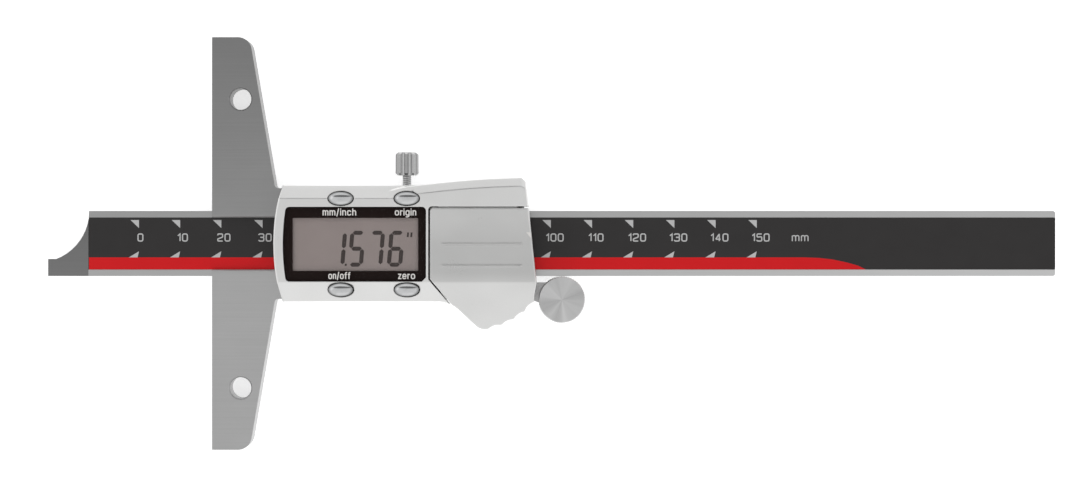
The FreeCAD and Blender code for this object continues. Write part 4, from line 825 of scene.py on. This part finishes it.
@dataclass
class PrintedBeam:
    """The sliding beam with its printed scale film.

    Attributes:
        zero_x: X of the right edge of the zero mark at rest.
        pitch: distance from one numbered mark to the next.
    """

    zero_x: float = -17.9 * MM
    pitch: float = 10.0 * MM
    count: int = 16
    print_height: float = 0.012 * MM
    stripe_top: float = -3.37 * MM
    stripe_bottom: float = -6.3 * MM
    numeral_base: float = 0.45 * MM
    mark_width: float = 2.05 * MM
    mark_height: float = 1.95 * MM
    mark_top: float = 5.7 * MM

    def build(self) -> None:
        """Dresses the beam and prints the stripe, marks and numerals on its film."""
        dress(["beam"], BEAM_STEEL)
        dress(["scale_board"], BOARD)
        dress(["scale_overlay"], SCALE_FILM)
        dress(["beam_stop_screw"], PLATED_SCREW)
        low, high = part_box("scale_overlay")
        self.levels = (high.z, high.z + self.print_height)
        self.stripe(low.x + 0.05 * MM)
        self.marks()
        self.numerals()

    def stripe(self, start: float) -> None:
        """Prints the red stripe from X of its left end to where it sweeps down to a point."""
        mesh = bmesh.new()
        sweep = [(143.6, -3.37), (147.2, -3.5), (150.4, -3.86), (153.7, -4.55), (156.6, -5.35), (158.6, -6.3)]
        outline = [(start, self.stripe_bottom), (start, self.stripe_top)]
        outline += [(x * MM, y * MM) for x, y in sweep]
        add_prism(mesh, outline[::-1], self.levels)
        add_piece("scale_stripe", mesh, RED_INK, "beam")

    def marks(self) -> None:
        """Prints the pairs of small triangles that stand at every ten millimetres."""
        mesh = bmesh.new()
        base = self.stripe_top - 0.02 * MM
        for i in range(self.count):
            x = self.zero_x + i * self.pitch
            upper = [(x - self.mark_width, self.mark_top), (x, self.mark_top - self.mark_height),
                     (x, self.mark_top)]
            lower = [(x - 2.5 * MM, base), (x - 0.35 * MM, base), (x, base + 1.5 * MM)]
            for outline in (upper, lower):
                add_prism(mesh, outline, self.levels)
        add_piece("scale_marks", mesh, PALE_INK, "beam")

    def numerals(self) -> None:
        """Prints the numbers of the scale and its unit."""
        mesh = bmesh.new()
        style = Lettering(NUMERALS, 2.02 * MM, 0.3 * MM, 0.3 * MM, self.print_height, Cap.SQUARE)
        for i in range(self.count):
            text = str(10 * i)
            middle = self.zero_x + i * self.pitch + (0.6 if i else 0.35) * MM
            if len(text) == 3:
                middle += 0.35 * MM
            style.write(mesh, text, middle - style.length(text) / 2, self.numeral_base, self.levels[0])
        unit = Lettering(LETTERS, 1.6 * MM, 0.26 * MM, 0.34 * MM, self.print_height, Cap.SQUARE)
        unit.write(mesh, "mm", 140.6 * MM, self.numeral_base, self.levels[0])
        add_piece("scale_numerals", mesh, PALE_INK, "beam")


@dataclass
class Display:
    """The liquid crystal display with its window and printed surround.

    Attributes:
        view: the seen part of the glass: lowest X and Y, highest X and Y.
        slant: how far the digits lean, as a share of their height.
        point: the decimal point: X of its left side, height over the digits' foot, width and height.
        ticks: the two strokes of the inch mark, given in the same way.
        base: Y of the digits' foot.
        thickness: thickness of the digits and of the window print.
        bow: how far the window's left side bows out.
        corner: radius of the window's corners.
    """

    view: tuple[float, float, float, float] = (20.3 * MM, -6.55 * MM, 50.34 * MM, 6.13 * MM)
    digit_height: float = 8.62 * MM
    digit_width: float = 2.7 * MM
    segment: float = 0.98 * MM
    point: tuple[float, float, float, float] = (32.68 * MM, 0.2 * MM, 0.48 * MM, 0.52 * MM)
    ticks: Sequence[tuple[float, float, float, float]] = ((46.95 * MM, 7.1 * MM, 0.45 * MM, 1.1 * MM),
                                                          (47.8 * MM, 7.1 * MM, 0.45 * MM, 1.1 * MM))
    slant: float = 0.085
    base: float = -5.55 * MM
    thickness: float = 0.02 * MM
    bow: float = 0.73 * MM
    corner: float = 1.0 * MM

    def build(self) -> None:
        """Dresses the display's pieces and adds its digits, print and labels."""
        dress(["lcd_panel"], DISPLAY_GLASS)
        dress(["lcd_frame"], MOULDED_BLACK)
        dress(["lcd_strips"], RUBBER)
        dress(["display_window"], WINDOW)
        self.digits()
        self.surround()
        self.labels()

    def segment_outline(self, start: Point, end: Point) -> list[Point]:
        """Returns the outline of one segment with pointed ends.

        Args:
            start: one end of its centre line, in a digit's upright frame.
            end: the other end.

        Returns:
            Its six points.
        """
        a, b = Vector(start), Vector(end)
        way = (b - a).normalized()
        side = Vector((-way.y, way.x)) * self.segment / 2
        step = way * self.segment / 2
        trim = way * 0.09 * MM
        spots = (a + trim, a + step + side + trim / 2, b - step + side - trim / 2, b - trim,
                 b - step - side - trim / 2, a + step - side + trim / 2)
        return [tuple(p) for p in spots]

    def lean(self, outline: Sequence[Point], left: float) -> list[Point]:
        """Leans an outline of a digit's upright frame and moves it to X of the digit's foot."""
        return [(left + x + y * self.slant, self.base + y) for x, y in outline]

    def digits(self) -> None:
        """Adds the reading, with its point and inch mark, on the glass."""
        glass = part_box("lcd_panel")[1].z
        mesh = bmesh.new()
        half = self.segment / 2
        width, tall = self.digit_width, self.digit_height - self.segment
        nodes = {"a": ((0, 2), (1, 2)), "b": ((1, 1), (1, 2)), "c": ((1, 0), (1, 1)), "d": ((0, 0), (1, 0)),
                 "e": ((0, 0), (0, 1)), "f": ((0, 1), (0, 2)), "g": ((0, 1), (1, 1))}
        shown = ((28.9, "bc"), (33.35, "acdfg"), (38.0, "abc"), (42.75, "acdefg"))
        levels = (glass, glass + self.thickness)
        for left, segments in shown:
            for key in segments:
                ends = [(x * width, half + y * tall / 2) for x, y in nodes[key]]
                add_prism(mesh, self.lean(self.segment_outline(*ends), left * MM + half), levels)
        for x, y, wide, high_mark in (self.point, *self.ticks):
            add_prism(mesh, self.lean(rectangle(0, y, wide, y + high_mark)[:-1], x), levels)
        add_piece("display_digits", mesh, DISPLAY_SEGMENT, "slider")

    def surround(self) -> None:
        """Adds the black print behind the window, with the view left open."""
        low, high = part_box("display_window")
        left, right = low.x + self.bow, high.x
        outer = rounded(rectangle(left, low.y, right, high.y)[:-1], self.corner, True, 6)
        inner = rounded(rectangle(*self.view)[:-1], 0.25 * MM, True, 6)
        x0, y0, _, y1 = self.view
        span = high.y - low.y
        bowed = []
        for x, y in outer:
            share = (y - low.y) / span * 2 - 1
            bow = self.bow * (1 - share * share) if x < left + self.corner else 0
            bowed.append((x - bow, y))
        shares = [k / 4 for k in range(3, -4, -1)]
        left_side = [(left - self.bow * (1 - t * t), low.y + span * (1 + t) / 2) for t in shares]
        inner_side = [(x0, y0 + (y1 - y0) * (1 + t) / 2) for t in shares]
        mesh = bmesh.new()
        rows = list(zip(bowed + left_side, inner + inner_side))
        add_strip(mesh, rows, (low.z + self.thickness, low.z + 2 * self.thickness), True)
        add_piece("window_print", mesh, BLACK_PRINT, "slider")

    def labels(self) -> None:
        """Prints the names of the four buttons on the window."""
        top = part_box("display_window")[1].z
        mesh = bmesh.new()
        words = (("mm/inch", 31.55, 6.68, 0.94, 0.22), ("origin", 47.35, 6.68, 0.86, 0.2),
                 ("on/off", 31.55, -8.5, 0.73, 0.15), ("zero", 47.6, -8.5, 0.86, 0.2))
        for text, middle, base, squeeze, gap in words:
            style = Lettering(LETTERS, 1.3 * MM, 0.27 * MM, gap * MM, 0.012 * MM, Cap.ROUND, squeeze)
            style.write(mesh, text, middle * MM - style.length(text) / 2, base * MM, top)
        add_piece("window_labels", mesh, LABEL_INK, "slider")


@dataclass
class Housing:
    """The die-cast case with its battery cover, seals and screws.

    Attributes:
        head_radius: radius of a screw's head.
        inner_screw_x: X of the lower right screw, which stands further in than the others.
        recess: length and width of one bar of the cross in a screw's head.
        recess_depth: how far a cross goes into the head.
        proud: how far it stands out, so that it shows.
        cover_face: Z of the cover's flat face.
        mark_height: height of the index mark on it.
    """

    head_radius: float = 1.5 * MM
    inner_screw_x: float = 60.0 * MM
    recess: tuple[float, float] = (1.7 * MM, 0.4 * MM)
    recess_depth: float = 0.1 * MM
    proud: float = 0.005 * MM
    cover_face: float = 11.75 * MM
    mark_height: float = 0.04 * MM

    def build(self) -> None:
        """Dresses the case and cover and adds the index mark and the crosses."""
        dress(["front_housing"], SATIN_CHROME)
        dress(["battery_cover"], COVER_CHROME)
        dress(["housing_gasket", "cover_seal"], RUBBER)
        dress(["housing_screws"], PLATED_SCREW)
        self.index_mark()
        self.crosses()

    def crosses(self) -> None:
        """Marks the cross recess in the head of each housing screw as a dark solid painted in the recess's
        shade.
        """
        low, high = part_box("housing_screws")
        left, right = low.x + self.head_radius, high.x - self.head_radius
        bottom, top = low.y + self.head_radius, high.y - self.head_radius
        levels = (low.z - self.proud, low.z + self.recess_depth)
        mesh = bmesh.new()
        long, wide = (side / 2 for side in self.recess)
        for x, y in ((left, top), (left, bottom), (right, top), (self.inner_screw_x, bottom)):
            half = [(-long, -wide), (-wide, -wide), (-wide, -long), (wide, -long), (wide, -wide), (long, -wide)]
            outline = half + [(-a, -b) for a, b in half]
            add_prism(mesh, [(x + a, y + b) for a, b in outline], levels)
        add_piece("housing_screw_crosses", mesh, DARK_RECESS, "slider")

    def index_mark(self) -> None:
        """Adds the small white triangle at the cover's right edge."""
        mesh = bmesh.new()
        outline = [(77.4 * MM, 2.6 * MM), (77.4 * MM, 1.15 * MM), (76.15 * MM, 2.75 * MM)]
        add_prism(mesh, outline, (self.cover_face, self.cover_face + self.mark_height))
        add_piece("cover_index_mark", mesh, LABEL_INK, "battery_cover")


@dataclass
class Buttons:
    """The four oval push buttons."""

    names: Sequence[str] = ("unit_button", "origin_button", "power_button", "zero_button")

    def build(self) -> None:
        """Dresses the buttons."""
        dress(self.names, BRIGHT_CHROME)


@dataclass
class LockScrew:
    """The thumb screw that locks the beam.

    Attributes:
        pitch: distance between the turns of its thread.
        crest: radius of the thread's crest.
        root: radius where the ridge meets the shank.
        axis: X and Z of the screw's axis.
    """

    pitch: float = 0.5 * MM
    crest: float = 1.1 * MM
    root: float = 0.98 * MM
    start: float = 12.6 * MM
    end: float = 16.5 * MM
    steps: int = 24
    axis: Point = (47.07 * MM, 0.18 * MM)

    def build(self) -> None:
        """Dresses the screw and its pad and cuts its thread."""
        dress(["lock_screw"], SCREW_HEAD_STEEL)
        dress(["lock_pad"], BRASS)
        self.thread()

    def thread(self) -> None:
        """Adds the ridge of the thread as one helix round the shank."""
        x0, z0 = self.axis
        mesh = bmesh.new()
        profile = ((self.root, -0.42), (self.crest, -0.08), (self.crest, 0.08), (self.root, 0.42))
        turns = (self.end - self.start) / self.pitch
        count = int(turns * self.steps)
        rings = []
        for i in range(count + 1):
            angle = 2 * math.pi * i / self.steps
            y = self.start + self.pitch * i / self.steps
            way = (math.cos(angle), math.sin(angle))
            rings.append([mesh.verts.new((x0 + r * way[0], y + shift * self.pitch, z0 + r * way[1]))
                          for r, shift in profile])
        join_rings(mesh, rings, False)
        add_piece("lock_screw_thread", mesh, SCREW_HEAD_STEEL, "lock_screw")


@dataclass
class Roller:
    """The thumb roller under the beam, with its axle, clip and bracket."""

    def build(self) -> None:
        """Dresses the roller's pieces."""
        dress(["roller_wheel"], ROLLER_STEEL)
        dress(["roller_axle", "roller_clip", "bracket_screws"], PLATED_SCREW)
        dress(["roller_bracket"], BRACKET_STEEL)


@dataclass
class InnerParts:
    """The boards, contacts and cell inside the housing."""

    def build(self) -> None:
        """Dresses what the housing holds."""
        dress(["main_board", "sensor_board"], BOARD)
        dress(["board_header", "controller_chip", "key_switches"], MOULDED_BLACK)
        dress(["battery_cell"], CELL_STEEL)
        dress(["negative_contact", "positive_contact"], PLATED_BRASS)


@dataclass
class Studio:
    """The paper, lamps, world and camera.

    Attributes:
        camera_place: the camera's place over the gauge.
        lens: its focal length in millimetres.
        floor_level: Z of the paper, a hair under the gauge.
        aim: the point that the softboxes face.
        softboxes: name, place and power in watts of each softbox.
        softbox_side: side of a softbox.
        glow: brightness of the surround at the sides and overhead.
        shape: darkness of the photographer's shape, its narrowness along X and its lean.
    """

    camera_place: tuple[float, float, float] = (0.08056, 0.00085, 0.60198)
    lens: float = 81.69
    floor_level: float = -3.26 * MM
    aim: tuple[float, float, float] = (0.06, 0.0, 0.0)
    softboxes: Sequence[tuple[str, tuple[float, float, float], float]] = (
        ("left_softbox", (-0.9, 0.3, 0.7), 0.6), ("right_softbox", (1.05, 0.3, 0.7), 0.6),
        ("front_softbox", (0.1, -1.05, 0.7), 0.25))
    softbox_side: float = 0.9
    glow: Point = (0.88, 0.8)
    shape: tuple[float, float, float] = (0.25, 0.35, 0.55)

    def build(self) -> None:
        """Sets up everything that isn't the object."""
        self.paper()
        self.world()
        self.lamps()
        self.camera()

    def paper(self) -> None:
        """Lays the paper that the gauge rests on."""
        mesh = bmesh.new()
        bmesh.ops.create_grid(mesh, x_segments=8, y_segments=8, size=3.0)
        floor = add_mesh("paper", mesh, PaperSweep("paper_sweep"))
        floor.location = (self.camera_place[0], 0, self.floor_level)

    def world(self) -> None:
        """Makes the soft surround, dimmer overhead and dark where the photographer stands."""
        world = bpy.data.worlds.new("soft_surround")
        bpy.context.scene.world = world
        world.use_nodes = True
        tree = world.node_tree
        tree.nodes.clear()
        way = add_node(tree, "TexCoord").outputs["Generated"]
        up = Vector((0.0, 0.16, 1.0)).normalized()
        overhead = add_node(tree, "VectorMath", {"operation": "DOT_PRODUCT"}, {0: way, 1: up})
        light = add_node(tree, "MapRange", {"interpolation_type": "SMOOTHSTEP"},
                         {"Value": overhead.outputs["Value"], "From Min": 0.72, "From Max": 0.985,
                          "To Min": self.glow[0], "To Max": self.glow[1]})
        dark, narrow, lean = self.shape
        narrowed = add_node(tree, "VectorMath", {"operation": "MULTIPLY"}, {0: way, 1: (narrow, 1.0, 1.0)})
        turned = add_node(tree, "VectorMath", {"operation": "NORMALIZE"}, {0: narrowed.outputs["Vector"]})
        core = add_node(tree, "VectorMath", {"operation": "DOT_PRODUCT"},
                        {0: turned.outputs["Vector"], 1: Vector((0.0, lean, 1.0)).normalized()})
        camera = add_node(tree, "MapRange", {"interpolation_type": "SMOOTHSTEP"},
                          {"Value": core.outputs["Value"], "From Min": 0.965, "From Max": 0.985,
                           "To Min": 1.0, "To Max": dark})
        both = add_node(tree, "Math", {"operation": "MULTIPLY"},
                        {0: light.outputs["Result"], 1: camera.outputs["Result"]})
        sky = add_node(tree, "Background", None, {"Color": linear("#ffffff"), "Strength": both.outputs[0]})
        output = add_node(tree, "OutputWorld")
        tree.links.new(sky.outputs[0], output.inputs["Surface"])

    def lamps(self) -> None:
        """Hangs the softboxes and aims them at the gauge."""
        for name, place, power in self.softboxes:
            lamp = bpy.data.lights.new(name, "AREA")
            lamp.shape = "SQUARE"
            lamp.size = self.softbox_side
            lamp.energy = power
            box = add_object(name, lamp)
            box.location = place
            box.rotation_euler = (Vector(self.aim) - Vector(place)).to_track_quat("-Z", "Y").to_euler()

    def camera(self) -> None:
        """Places the camera straight over the gauge."""
        data = bpy.data.cameras.new("camera")
        data.sensor_width = 36.0
        data.lens = self.lens
        data.clip_start = 0.01
        data.clip_end = 50.0
        camera = add_object("camera", data)
        camera.location = self.camera_place
        bpy.context.scene.camera = camera


def main() -> None:
    """Builds the sub-assemblies in order and logs each one."""
    logging.basicConfig(level=logging.INFO, format="%(name)s: %(message)s")
    for part in (BaseFrame(), PrintedBeam(), Housing(), Display(), Buttons(), LockScrew(), Roller(),
                 InnerParts(), Studio()):
        log.info("sub-assembly %s", type(part).__name__)
        part.build()
    bpy.context.scene.view_settings.view_transform = "Standard"


if __name__ == "__main__":
    main()
